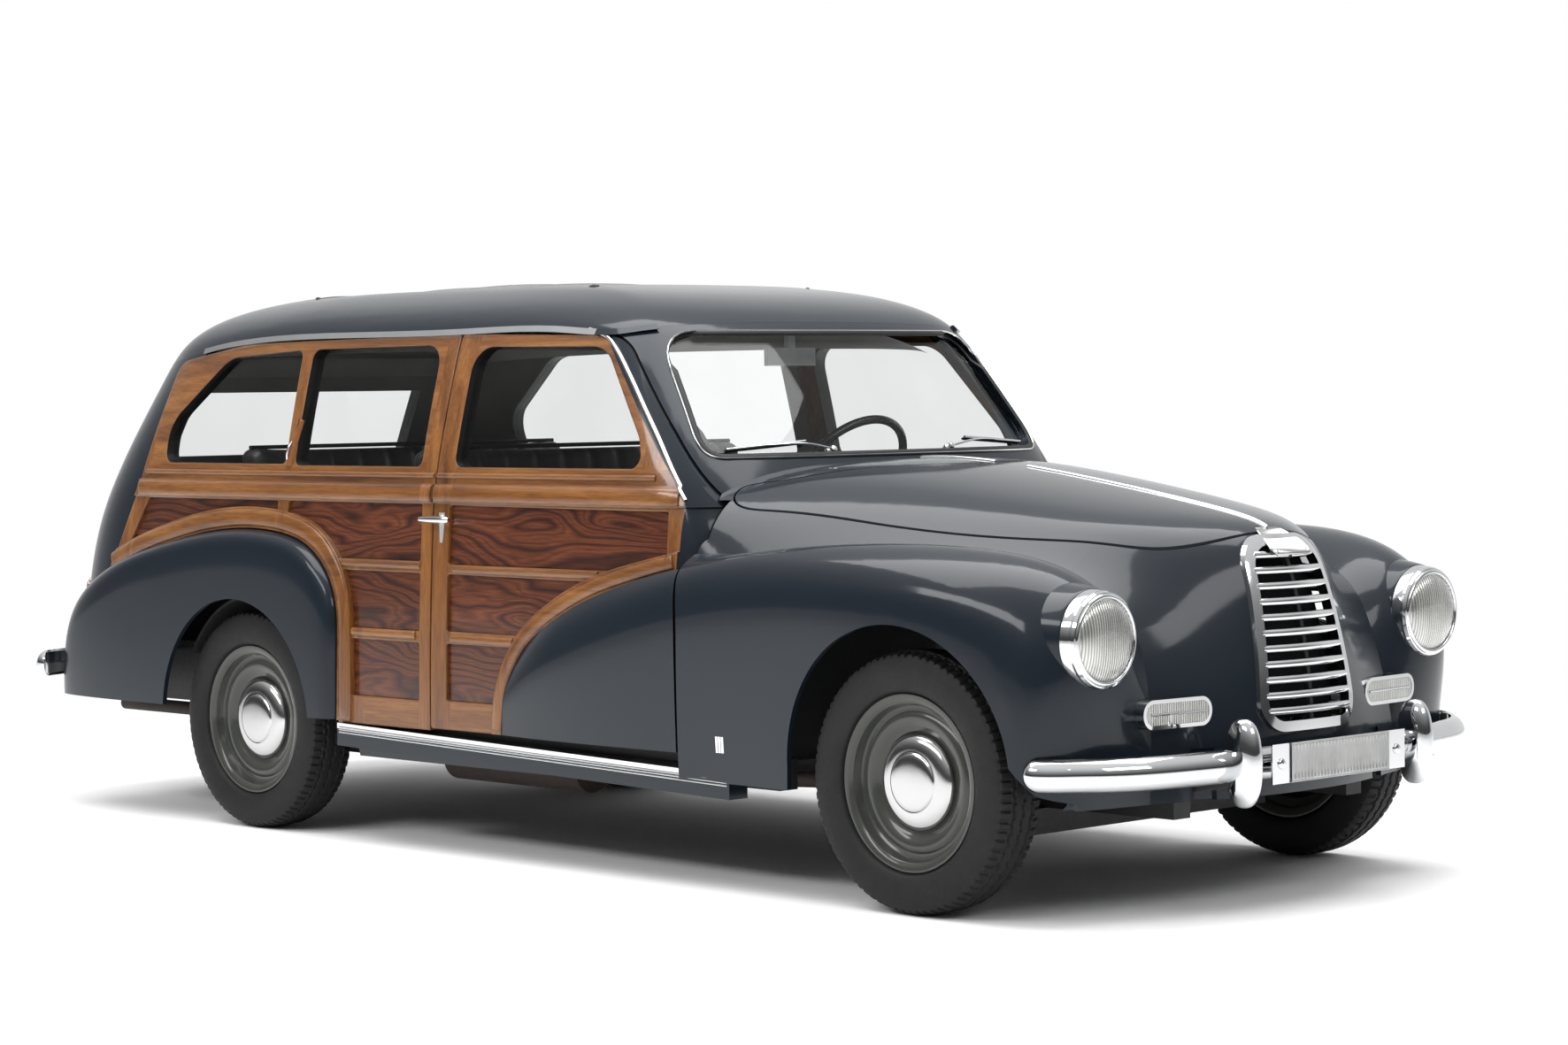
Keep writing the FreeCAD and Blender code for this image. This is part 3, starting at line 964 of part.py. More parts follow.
# Bumpers and number plate
BUMPER_SHARES = [(-0.70, -0.985), (-0.15, -0.91), (0.62, -0.67), (1.0, 0.0), (0.62, 0.67), (-0.15, 0.91), (-0.70, 0.985)]
GUARD_SHARES = [(-1.0, -0.45), (-0.70, -0.72), (-0.15, -0.93), (0.38, -0.93), (0.80, -0.62), (1.0, -0.05), (0.86, 0.52),
                (0.45, 0.90), (-0.05, 0.98), (-0.50, 0.80), (-0.85, 0.45), (-1.06, 0)]


def bumper_arms(reach, low_z, high_z, arm, sign, grow):
    x_in, x_out = sorted((sign * arm, sign * (reach + size("guard_ahead"))))
    arms = []
    for side in (-1, 1):
        low, high = sorted((side * RAIL_IN, side * (RAIL_IN + RAIL_W)))
        arms.append(block(x_in, x_out, low - grow, high + grow, low_z - grow, high_z + grow))
    return arms


def bumper(reach, wrap, level, arm, sign):
    """A blade bowed round one end of the car, with two overriders."""
    line = [spot(sign * (reach + (a - 1) * wrap), b * HALF, level) for a, b in BUMPER_SHARES]
    curve = Part.BSplineCurve()
    curve.interpolate(line)
    tall = size("bumper_height") / 2
    deep = size("bumper_depth")
    back = [line[0] + UP * tall, line[0] - UP * tall]
    nose = line[0] + curve.tangent(0)[0].cross(UP) * (sign * deep)
    section = Part.Wire([Part.Arc(back[0], nose, back[1]).toShape(), Part.LineSegment(back[1], back[0]).toShape()])
    sweep = Part.BRepOffsetAPI.MakePipeShell(Part.Wire(curve.toShape()))
    sweep.setBiNormalMode(UP)
    sweep.add(section)
    sweep.build()
    sweep.makeSolid()
    pieces = [sweep.shape()]
    for side in (-1, 1):
        middle = spot(sign * (reach + size("guard_ahead")), side * size("guard_side"), level + size("guard_rise"))
        middle -= LEFT * (size("guard_width") / 2)
        points = [middle + ALONG * (sign * a * size("guard_depth") / 2) + UP * (b * size("guard_height") / 2)
                  for a, b in GUARD_SHARES]
        edge = Part.BSplineCurve()
        edge.interpolate(points, PeriodicFlag=True)
        guard = Part.Face(Part.Wire(edge.toShape())).extrude(LEFT * size("guard_width"))
        pieces.append(guard.makeFillet(size("guard_round"), guard.Edges))
    return fused(pieces + arm)


FRONT_REACH = size("front_reach") - size("guard_proud")
REAR_REACH = size("rear_reach") - size("guard_proud")
FRONT_LEVEL = size("front_bumper_up")
REAR_LEVEL = size("rear_bumper_up")
front_band = (FLOOR - PLATE - RAIL_T, FRONT_LEVEL + RAIL_T / 2)
rear_band = (REAR_LEVEL - RAIL_T / 2, REAR_LEVEL + RAIL_T / 2)
front_arms = bumper_arms(FRONT_REACH, *front_band, size("rail_reach") + SEAT, 1, 0)
rear_arms = bumper_arms(REAR_REACH, *rear_band, size("load_reach") + SEAT, -1, 0)
keep("front_bumper", one_solid(bumper(FRONT_REACH, size("front_bumper_wrap"), FRONT_LEVEL, front_arms, 1)))
keep("rear_bumper", one_solid(bumper(REAR_REACH, size("rear_bumper_wrap"), REAR_LEVEL, rear_arms, -1)))
arm_slots = bumper_arms(FRONT_REACH, *front_band, size("rail_reach") - OVER, 1, SEAT)
tail_slots = bumper_arms(REAR_REACH, *rear_band, size("load_reach") - OVER, -1, SEAT)
PLATE_BACK = "Sizes.front_reach - Sizes.guard_proud + Sizes.bumper_depth + Sizes.seat_gap"
bound_block("number_plate", PLATE_BACK, PLATE_BACK + " + Sizes.plate_wall", "-Sizes.plate_half_width", "Sizes.plate_half_width",
            "Sizes.front_bumper_up - Sizes.plate_half_height", "Sizes.front_bumper_up + Sizes.plate_half_height")

# Grille: a surround on the nose panel with bowed bars
GRILLE_SHARES = [(1.0, 0, 0.14), (-1.0, 0, 0.14), (-0.74, 1.0, 0.18), (0.74, 1.0, 0.18)]
GRILLE_LOW = size("grille_low")
GRILLE_TALL = size("grille_high") - GRILLE_LOW
LAMP_X = WHEELBASE + size("lamp_overhang")


def grille_prism(grow):
    corners = [(a * size("grille_half_width"), GRILLE_LOW + b * GRILLE_TALL, c * GRILLE_TALL) for a, b, c in GRILLE_SHARES]
    return along_prism(front_wire(corners, NOSE_SPLIT, grow), WHEELBASE)


def nose_slab(near, far):
    half = solid_between(moved(INNER_OUT, INNER_STEPS, near), moved(INNER_OUT, INNER_STEPS, far))
    return half.fuse(mirrored(half)).removeSplitter()


rim_wide = size("grille_rim")
flange = nose_slab(-rim_wide, -SEAT).common(grille_prism(rim_wide).cut(grille_prism(-rim_wide)))
liner = nose_slab(-rim_wide, STEEL).common(grille_prism(-SEAT).cut(grille_prism(-rim_wide)))


def nose_at(across, level):
    """The place on the nose at that distance to the left and that height."""
    line = Part.makeLine(spot(NOSE_SPLIT, across, level), spot(2 * WHEELBASE, across, level))
    return max((vertex.Point for vertex in line.common(inner_skin).Vertexes), key=lambda point: point.x)


bars = []
count = int(size("grille_bars"))
pitch = GRILLE_TALL / (count + 1)
for index in range(count):
    level = GRILLE_LOW + (index + 1) * pitch
    half = size("grille_half_width") * (1 - size("grille_taper_share") * (level - GRILLE_LOW) / GRILLE_TALL) - rim_wide / 2
    tip, crown = nose_at(half, level), nose_at(OVER / 4, level)
    tip, crown = tip + ALONG * (rim_wide / 4), Vector(crown.x + rim_wide / 2, 0, level)
    bow = Part.Arc(tip, crown, Vector(tip.x, -tip.y, tip.z))
    tall, deep = pitch * size("bar_height_share"), size("bar_depth")
    back = tall * size("bar_back_share")
    corners = [(0, -tall), (0, tall), (-deep, back), (-deep, -back)]
    out = bow.tangent(0)[0].cross(UP)
    out = out if out.x > 0 else out * -1
    ring = [tip + out * a + UP * b for a, b in corners]
    front = Part.Arc(ring[0], tip + out * tall, ring[1]).toShape()
    sweep = Part.BRepOffsetAPI.MakePipeShell(Part.Wire(bow.toShape()))
    sweep.setBiNormalMode(UP)
    sweep.add(Part.Wire([front] + Part.makePolygon([ring[1], ring[2], ring[3], ring[0]]).Edges))
    sweep.build()
    sweep.makeSolid()
    bars.append(sweep.shape())
spine = block(NOSE_SPLIT, 2 * WHEELBASE, -rim_wide / 2, rim_wide / 2, 0, ROOF)
inner_way = grille_prism(-rim_wide / 2)
post = nose_slab(0, STEEL).common(inner_way).common(spine)
bars = [bar.common(inner_way) for bar in bars]
keep("grille", one_solid(fused([flange, liner, post] + bars)))

# Lamps
LAMP_Y = size("lamp_side")
LAMP_UP = size("lamp_up")
LAMP_R = size("lamp_radius")
LENS_R = size("lens_radius")
LAMP_SECTION_SHARES = [(0, -1.5), (0.55, -1.4), (0.90, -1.0), (0.96, -0.2), (1.0, -0.12), (1.0, 0.05), (0.97, 0.12), (0.90, 0.15)]
LENS_SHARES = [(0, 0.27), (0.30, 0.26), (0.58, 0.215), (0.80, 0.145), (0.93, 0.075), (1.0, 0.02), (1.0, -0.08), (0, -0.02)]
PARK_SHARES = [(1.0, -1.0, 0.96), (-1.0, -1.0, 0.96), (-1.0, 1.0, 0.96), (1.0, 1.0, 0.96)]


def around_x(section, centre):
    """A section of (radius, forward) pairs turned about the line along the car."""
    points = [centre + UP * r + ALONG * a for r, a in section]
    return Part.Face(Part.makePolygon(points + points[:1])).revolve(centre, ALONG, 360)


def parking_prism(side, grow, front):
    """The parking lamp's oval, ended by a front that slants back towards the wing."""
    half, tall = size("parking_half_length"), size("parking_half_height")
    corners = [(side * size("parking_side") + a * half, size("parking_up") + b * tall, c * tall) for a, b, c in PARK_SHARES]
    back = LAMP_X - size("parking_depth")
    prism = along_prism(front_wire(corners, back, grow), 2 * size("parking_depth"))
    near, far = size("parking_side") - half - OVER, size("parking_side") + half + OVER
    ends = [(back, near), (WHEELBASE + size("parking_inner_overhang") + front, near),
            (WHEELBASE + size("parking_outer_overhang") + front, far), (back, far)]
    plan = Part.Face(Part.makePolygon([spot(x, side * y, 0) for x, y in ends + ends[:1]]))
    return prism.common(plan.extrude(UP * ROOF))


bowls, lenses, oval_rims, openings = [], [], [], []
for side in (-1, 1):
    centre = spot(LAMP_X, side * LAMP_Y, LAMP_UP)
    bowl = [(a * LAMP_R, b * LAMP_R) for a, b in LAMP_SECTION_SHARES]
    bowl += [(LENS_R, 0.10 * LAMP_R), (LENS_R, -0.10 * LAMP_R), (0.8 * LENS_R, -0.7 * LAMP_R), (0, -LAMP_R)]
    bowls.append(around_x(bowl, centre))
    lens = [(a * (LENS_R - SEAT), b * LAMP_R) for a, b in LENS_SHARES]
    lenses.append(around_x(lens, centre))
    openings.append(Part.makeCylinder(LAMP_R + SEAT, 4 * LAMP_R, centre - ALONG * (3 * LAMP_R), ALONG))
    oval_rims.append(parking_prism(side, 0, 0).cut(parking_prism(side, -size("parking_rim"), OVER)))
    lenses.append(parking_prism(side, -size("parking_rim") - SEAT, -SEAT))
    openings.append(parking_prism(side, SEAT, OVER))
keep("lamp_lenses", Part.makeCompound(lenses))
keep("lamp_rims", Part.makeCompound(bowls + oval_rims))
openings = fused(openings)
front_wing = one_solid(front_wing.cut(openings))
keep("nose_panel", one_solid(nose.cut(openings).cut(grille_prism(0)).cut(fused(arm_slots))))
TAIL_LAMP_R = size("tail_lamp_radius")
tail_lamps = [Part.makeCylinder(TAIL_LAMP_R, 2 * TAIL_LAMP_R, spot(-size("tail_lamp_reach"), side * size("tail_lamp_side"),
                                                                    size("tail_lamp_up")), ALONG) for side in (-1, 1)]
tail_lamps = [lamp.makeFillet(TAIL_LAMP_R / 3, lamp.Edges[:1] + lamp.Edges[2:]) for lamp in tail_lamps]
keep("tail_lamps", Part.makeCompound(tail_lamps))
lamp_hole = Part.makeCylinder(TAIL_LAMP_R + SEAT, 3 * TAIL_LAMP_R, spot(-size("tail_lamp_reach"), size("tail_lamp_side"),
                                                                        size("tail_lamp_up")), ALONG)
tail_frame = tail_frame.cut(fused([lamp_hole, mirrored(lamp_hole)] + tail_slots))
keep("tail_frame", one_solid(tail_frame))
keep("rear_wing_left", rear_wing)
keep("rear_wing_right", mirrored(rear_wing))

# Trim along the sides
rail_half = size("drip_rail_width") / 2
outer_strip = cabin_slab(-size("drip_rail_proud"), -SEAT)
drip = outer_strip.common(roof_prism(-rail_half).cut(roof_prism(rail_half)))
drip = drip.common(block(QUARTER_REAR / 2, SCREEN, INSIDE, OUTSIDE, 0, ROOF))


def sill_strip(grow):
    """The strip under the door, lower towards the front, and the space round it."""
    top = [(DOOR_FRONT + size("strip_lap") + grow, size("strip_front_up") + grow), (STEP_X + OVER - grow, SILL - GAP + grow)]
    ring = top + [(x, z - size("strip_height") - 2 * grow) for x, z in reversed(top)]
    face = Part.Face(Part.makePolygon([spot(x, FLOOR_HALF + SEAT, z) for x, z in ring + ring[:1]]))
    return face.extrude(LEFT * (size("strip_depth") + 2 * grow))


strip = sill_strip(0)
front_wing = one_solid(front_wing.cut(sill_strip(SEAT)))
wing_room = front_wing.translated((UP - LEFT) * SEAT)
scuttle = one_solid(scuttle.cut([wing_room, mirrored(wing_room)]))
keep("scuttle", scuttle)
keep("front_wing_left", front_wing)
keep("front_wing_right", mirrored(front_wing))
keep("side_trims", Part.makeCompound([drip, mirrored(drip), strip, mirrored(strip)]))
MIRROR_FRONT = "Sizes.mirror_ahead + Sizes.mirror_depth"
glass = bound_block("mirror_head", "Sizes.mirror_ahead", MIRROR_FRONT, "-Sizes.mirror_half_width", "Sizes.mirror_half_width",
                    "Sizes.mirror_up - Sizes.mirror_half_height", "Sizes.mirror_up + Sizes.mirror_half_height")
stem = bound_block("mirror_stem", "Sizes.mirror_ahead", MIRROR_FRONT, "-Sizes.mirror_depth", "Sizes.mirror_depth",
                   "Sizes.mirror_up", "Sizes.mirror_stem_top")
bound_union("mirror", [glass, stem])

doc.recompute()
for item in doc.Objects:
    if "Invalid" in item.State or "Error" in item.State:
        raise ValueError(item.Label + " did not build")
for label, feature in parts.items():
    if feature.Shape.isNull() or not feature.Shape.isValid():
        raise ValueError(label + " has no valid shape")
    feature.Shape.exportStep("parts/%s.step" % label)
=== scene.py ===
import math

import bmesh
import bpy
from mathutils import Matrix, Vector
from mathutils.bvhtree import BVHTree


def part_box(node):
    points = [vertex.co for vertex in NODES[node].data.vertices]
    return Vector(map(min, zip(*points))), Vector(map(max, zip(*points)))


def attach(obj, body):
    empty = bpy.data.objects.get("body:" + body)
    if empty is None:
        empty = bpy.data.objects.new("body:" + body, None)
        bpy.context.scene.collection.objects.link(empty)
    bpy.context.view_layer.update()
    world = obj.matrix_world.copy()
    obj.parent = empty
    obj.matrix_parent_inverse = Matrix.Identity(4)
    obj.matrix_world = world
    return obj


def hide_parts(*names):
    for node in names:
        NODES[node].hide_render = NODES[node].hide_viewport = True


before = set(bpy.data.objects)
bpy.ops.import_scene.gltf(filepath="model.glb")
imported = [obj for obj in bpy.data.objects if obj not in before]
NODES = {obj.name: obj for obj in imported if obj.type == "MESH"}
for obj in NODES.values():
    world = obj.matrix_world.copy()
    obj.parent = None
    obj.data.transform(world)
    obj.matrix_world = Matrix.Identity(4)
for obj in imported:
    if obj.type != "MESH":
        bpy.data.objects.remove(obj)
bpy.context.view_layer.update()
MM = 0.001
SIDES = (-1, "right"), (1, "left")
AHEAD, ACROSS, UP = Vector((1, 0, 0)), Vector((0, 1, 0)), Vector((0, 0, 1))


# Places taken from the frame
def middle(node):
    low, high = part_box(node)
    return (Vector(low) + Vector(high)) / 2


def extent(node):
    low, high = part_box(node)
    return Vector(high) - Vector(low)


REAR_AXLE = middle("wheel_rear_left").x
AXLE_UP = middle("tyre_rear_left").z
TYRE_R = extent("tyre_rear_left").z / 2
TYRE_HALF = extent("tyre_rear_left").y / 2
RIM_R = extent("wheel_rear_left").z / 2 / 1.01
RIM_HALF = extent("wheel_rear_left").y / 2


def at(x, y, z):
    """A place measured forward from the rear axle."""
    return Vector((REAR_AXLE + x, y, z))


# Camera, placed by the photograph
CAMERA_PLACE = at(8.385, -6.836, 1.234)
CAMERA_YAW = math.radians(45.55)
CAMERA_PITCH = math.radians(2.14)
CAMERA_ROLL = math.radians(-0.70)
FOCAL_PIXELS = 4086
IMAGE_WIDTH = 1772
SENSOR = 36


def make_camera():
    flat = Vector((-math.sin(CAMERA_YAW), math.cos(CAMERA_YAW), 0))
    ahead = flat * math.cos(CAMERA_PITCH) - Vector((0, 0, math.sin(CAMERA_PITCH)))
    level = Vector((math.cos(CAMERA_YAW), math.sin(CAMERA_YAW), 0))
    upright = level.cross(ahead)
    right = math.cos(CAMERA_ROLL) * level + math.sin(CAMERA_ROLL) * upright
    up = -math.sin(CAMERA_ROLL) * level + math.cos(CAMERA_ROLL) * upright
    data = bpy.data.cameras.new("camera")
    data.sensor_width = SENSOR
    data.lens = FOCAL_PIXELS / IMAGE_WIDTH * SENSOR
    data.clip_end = 200
    camera = bpy.data.objects.new("camera", data)
    bpy.context.scene.collection.objects.link(camera)
    turn = Matrix((right, up, -ahead)).transposed().to_4x4()
    camera.matrix_world = Matrix.Translation(CAMERA_PLACE) @ turn
    bpy.context.scene.camera = camera


# Materials
def scaled(colour, share):
    return tuple(share * part for part in colour)


class Nodes:
    """A node tree with short calls for what the materials and the backdrop use."""

    def __init__(self, tree):
        self.tree = tree

    def add(self, kind, **settings):
        node = self.tree.nodes.new(kind)
        for key, value in settings.items():
            setattr(node, key, value)
        return node

    def link(self, out, into):
        self.tree.links.new(out, into)

    def place(self, scale=(1, 1, 1), turn=(0, 0, 0)):
        """Object coordinates, in metres, scaled and turned."""
        coordinates = self.add("ShaderNodeTexCoord")
        mapping = self.add("ShaderNodeMapping")
        mapping.inputs["Scale"].default_value = scale
        mapping.inputs["Rotation"].default_value = turn
        self.link(coordinates.outputs["Object"], mapping.inputs["Vector"])
        return mapping.outputs["Vector"]

    def noise(self, vector, scale, detail=4, rough=0.55, distortion=0):
        node = self.add("ShaderNodeTexNoise")
        node.inputs["Scale"].default_value = scale
        node.inputs["Detail"].default_value = detail
        node.inputs["Roughness"].default_value = rough
        node.inputs["Distortion"].default_value = distortion
        self.link(vector, node.inputs["Vector"])
        return node.outputs["Fac"]

    def ramp(self, factor, stops):
        node = self.add("ShaderNodeValToRGB")
        elements = node.color_ramp.elements
        for end in (0, -1):
            elements[end].position, elements[end].color = stops[end][0], (*stops[end][1], 1)
        for position, colour in stops[1:-1]:
            elements.new(position).color = (*colour, 1)
        self.link(factor, node.inputs["Fac"])
        return node.outputs["Color"]

    def clouded(self, colour, scale, detail, share):
        """A colour that darkens to a share of itself in soft clouds."""
        clouds = self.noise(self.place(), scale, detail)
        return self.ramp(clouds, [(0.3, scaled(colour, share)), (0.7, colour)])

    def stretch(self, value, low, high):
        """A value between zero and one, stretched to lie between two others."""
        node = self.add("ShaderNodeMapRange")
        node.inputs["To Min"].default_value = low
        node.inputs["To Max"].default_value = high
        self.link(value, node.inputs["Value"])
        return node.outputs["Result"]

    def blend(self, factor, first, second):
        """Two shaders mixed by a factor."""
        node = self.add("ShaderNodeMixShader")
        for socket, out in zip(node.inputs, (factor, first, second)):
            self.link(out, socket)
        return node.outputs["Shader"]

    def mix(self, factor, first, second, mode="MIX"):
        node = self.add("ShaderNodeMix", data_type="RGBA", blend_type=mode)
        if isinstance(factor, float):
            node.inputs["Factor"].default_value = factor
        else:
            self.link(factor, node.inputs["Factor"])
        self.link(first, node.inputs["A"])
        self.link(second, node.inputs["B"])
        return node.outputs["Result"]

    def math(self, operation, first, second=None):
        node = self.add("ShaderNodeMath", operation=operation)
        for index, value in enumerate((first, second)):
            if value is None:
                continue
            if isinstance(value, (int, float)):
                node.inputs[index].default_value = value
            else:
                self.link(value, node.inputs[index])
        return node.outputs[0]


class Finish(Nodes):
    """A material whose shader is set through its tree."""

    def __init__(self, name, **values):
        self.material = bpy.data.materials.new(name)
        self.material.use_nodes = True
        super().__init__(self.material.node_tree)
        self.shader = self.tree.nodes["Principled BSDF"]
        self.surface = self.tree.nodes["Material Output"].inputs["Surface"]
        for key, value in values.items():
            self.shader.inputs[key.replace("_", " ")].default_value = value

    def colour(self, out):
        self.link(out, self.shader.inputs["Base Color"])

    def roughness(self, factor, low, high):
        self.link(self.stretch(factor, low, high), self.shader.inputs["Roughness"])

    def bump(self, factor, strength, distance):
        node = self.add("ShaderNodeBump")
        node.inputs["Strength"].default_value = strength
        node.inputs["Distance"].default_value = distance
        self.link(factor, node.inputs["Height"])
        self.link(node.outputs["Normal"], self.shader.inputs["Normal"])


def enamel(made, shader, colour, coat=0.8, roughness=0.42):
    """Dark enamel under clear lacquer, with a fine flake and a slow change of gloss."""
    lacquer = {"Specular IOR Level": 0.12, "Coat Weight": coat, "Coat Roughness": 0.09, "Coat IOR": 1.34}
    for key, value in lacquer.items():
        shader.inputs[key].default_value = value
    flake = made.noise(made.place(), 1400, 2)
    tone = made.ramp(flake, [(0.35, scaled(colour, 0.85)), (0.65, scaled(colour, 1.2))])
    made.link(tone, shader.inputs["Base Color"])
    gloss = made.stretch(made.noise(made.place(), 3, 3), roughness - 0.04, roughness + 0.04)
    made.link(gloss, shader.inputs["Roughness"])


def paint(name, colour, coat=0.8, roughness=0.42):
    made = Finish(name)
    enamel(made, made.shader, colour, coat, roughness)
    return made.material


def painted_where(made, mask):
    """Body colour laid over part of a material."""
    cover = made.add("ShaderNodeBsdfPrincipled")
    enamel(made, cover, BODY_COLOUR)
    made.link(made.blend(mask, made.shader.outputs["BSDF"], cover.outputs["BSDF"]), made.surface)


def split_place(made):
    parts = made.add("ShaderNodeSeparateXYZ")
    made.link(made.place(), parts.inputs["Vector"])
    return parts


def along_line(made, parts, slope, limit):
    """One where z plus a slope times x passes a limit."""
    lean = made.math("MULTIPLY", parts.outputs[0], slope)
    return made.math("GREATER_THAN", made.math("ADD", lean, parts.outputs[2]), limit)


def trim_chrome(name):
    """Polished roof rail and sill strip; what lies under the strip and ahead of the door is painted."""
    made = Finish(name, Metallic=1.0)
    clouds = made.noise(made.place(), 9, 3)
    made.colour(made.ramp(clouds, [(0.3, (0.62, 0.63, 0.64)), (0.7, (0.67, 0.68, 0.69))]))
    made.roughness(made.noise(made.place(), 30, 5), 0.05, 0.10)
    parts = split_place(made)
    strip_top = along_line(made, parts, STRIP_SLOPE, STRIP_LIMIT)
    low = made.math("LESS_THAN", parts.outputs[2], STRIP_BELOW)
    under_strip = made.math("MULTIPLY", low, made.math("SUBTRACT", 1.0, strip_top))
    past_rail = made.math("GREATER_THAN", parts.outputs[0], RAIL_END)
    ahead = made.math("MULTIPLY", past_rail, made.math("SUBTRACT", 1.0, low))
    painted_where(made, made.math("MAXIMUM", under_strip, ahead))
    return made.material


def polished(name, colour=(0.80, 0.81, 0.82), low=0.04, high=0.10):
    made = Finish(name, Metallic=1.0)
    made.colour(made.clouded(colour, 9, 3, 0.95))
    made.roughness(made.noise(made.place(), 30, 5), low, high)
    return made.material


def satin_metal(name, colour, roughness=0.45, metallic=0.0):
    made = Finish(name, Metallic=metallic)
    made.colour(made.clouded(colour, 14, 6, 0.75))
    made.roughness(made.noise(made.place(), 60, 5), roughness - 0.08, roughness + 0.10)
    made.bump(made.noise(made.place(), 220, 3), 0.15, 0.0004)
    return made.material


def window_glass(name, tint=(0.965, 0.97, 0.97)):
    """Thin clear glass: it lets light straight through and mirrors more at a slant."""
    made = Finish(name)
    clear = made.add("ShaderNodeBsdfTransparent")
    made.link(made.clouded(tint, 3, 3, 0.98), clear.inputs["Color"])
    gloss = made.add("ShaderNodeBsdfGlossy")
    gloss.inputs["Roughness"].default_value = 0.01
    slant = made.add("ShaderNodeLayerWeight")
    rise = made.math("POWER", slant.outputs["Facing"], 5.0)
    share = made.math("ADD", made.math("MULTIPLY", rise, 0.40), 0.018)
    made.link(made.blend(share, clear.outputs["BSDF"], gloss.outputs["BSDF"]), made.surface)
    made.tree.nodes.remove(made.shader)
    return made.material


def lens_glass(name, tint=(0.66, 0.66, 0.63), flutes=42, direction="Y", metal=0.75):
    """Pressed and fluted lamp glass with the bright reflector close behind it, and painted shade along each
    flute.
    """
    made = Finish(name, Metallic=metal, Coat_Weight=1.0, Coat_Roughness=0.02)
    wave = made.add("ShaderNodeTexWave", bands_direction=direction, wave_profile="SIN")
    wave.inputs["Scale"].default_value = flutes
    made.link(made.place(), wave.inputs["Vector"])
    patch = made.noise(made.place((6, 22, 6)), 1.4, 3)
    # The colour falls to under half of the tint along every flute: painted shade in the flutes.
    flute_shade = made.ramp(wave.outputs["Fac"], [(0.15, scaled(tint, 0.45)), (0.7, tint)])
    cloud = made.ramp(patch, [(0.35, (0.62, 0.62, 0.62)), (0.65, (1, 1, 1))])
    made.colour(made.mix(0.6, flute_shade, cloud, "MULTIPLY"))
    made.roughness(patch, 0.16, 0.26)
    made.bump(wave.outputs["Fac"], 0.6, 0.0018)
    return made.material


def leather(name, colour):
    made = Finish(name, Coat_Weight=0.15)
    pores = made.add("ShaderNodeTexVoronoi")
    pores.inputs["Scale"].default_value = 420
    made.link(made.place(), pores.inputs["Vector"])
    made.colour(made.clouded(colour, 11, 5, 0.7))
    made.roughness(made.noise(made.place(), 25, 4), 0.38, 0.55)
    made.bump(pores.outputs["Distance"], 0.35, 0.0006)
    return made.material


def canvas(name, colour):
    """Coated cloth with a fine crossing weave."""
    made = Finish(name, Sheen_Weight=0.3)
    threads = []
    for direction in ("X", "Y"):
        wave = made.add("ShaderNodeTexWave", bands_direction=direction)
        wave.inputs["Scale"].default_value = 260
        wave.inputs["Distortion"].default_value = 0.6
        made.link(made.place(), wave.inputs["Vector"])
        threads.append(wave.outputs["Fac"])
    weave = made.math("MULTIPLY", threads[0], threads[1])
    made.colour(made.clouded(colour, 6, 6, 0.82))
    made.roughness(weave, 0.75, 0.92)
    made.bump(weave, 0.4, 0.0008)
    return made.material


def rubber(name, colour=(0.022, 0.022, 0.023), roughness=0.62):
    made = Finish(name, Specular_IOR_Level=0.3)
    dust = made.noise(made.place(), 16, 6, 0.7)
    made.colour(made.ramp(dust, [(0.35, colour), (0.75, scaled(colour, 1.9))]))
    made.roughness(made.noise(made.place(), 90, 4), roughness - 0.08, roughness + 0.12)
    made.bump(made.noise(made.place(), 500, 2), 0.12, 0.0004)
    return made.material


def grain(made, along, dark, mid, light):
    """The colour and the height of grain that runs along X, Y or Z."""
    scale = {"X": (0.9, 17, 17), "Y": (17, 0.9, 17), "Z": (17, 17, 0.9)}[along]
    where = made.place(scale)
    broad = made.noise(where, 1.3, 5, 0.6, 0.5)
    fine = made.noise(where, 15, 4, 0.7)
    tone = made.ramp(broad, [(0.30, dark), (0.48, mid), (0.70, light)])
    lines = made.ramp(fine, [(0.36, (0.50, 0.42, 0.36)), (0.56, (1, 1, 1))])
    return made.mix(0.62, tone, lines, "MULTIPLY"), fine


def inside(made, parts, low, high, axis):
    """One where a coordinate lies between two values, and zero elsewhere."""
    above = made.math("GREATER_THAN", parts.outputs[axis], low)
    below = made.math("LESS_THAN", parts.outputs[axis], high)
    return made.math("MULTIPLY", above, below)


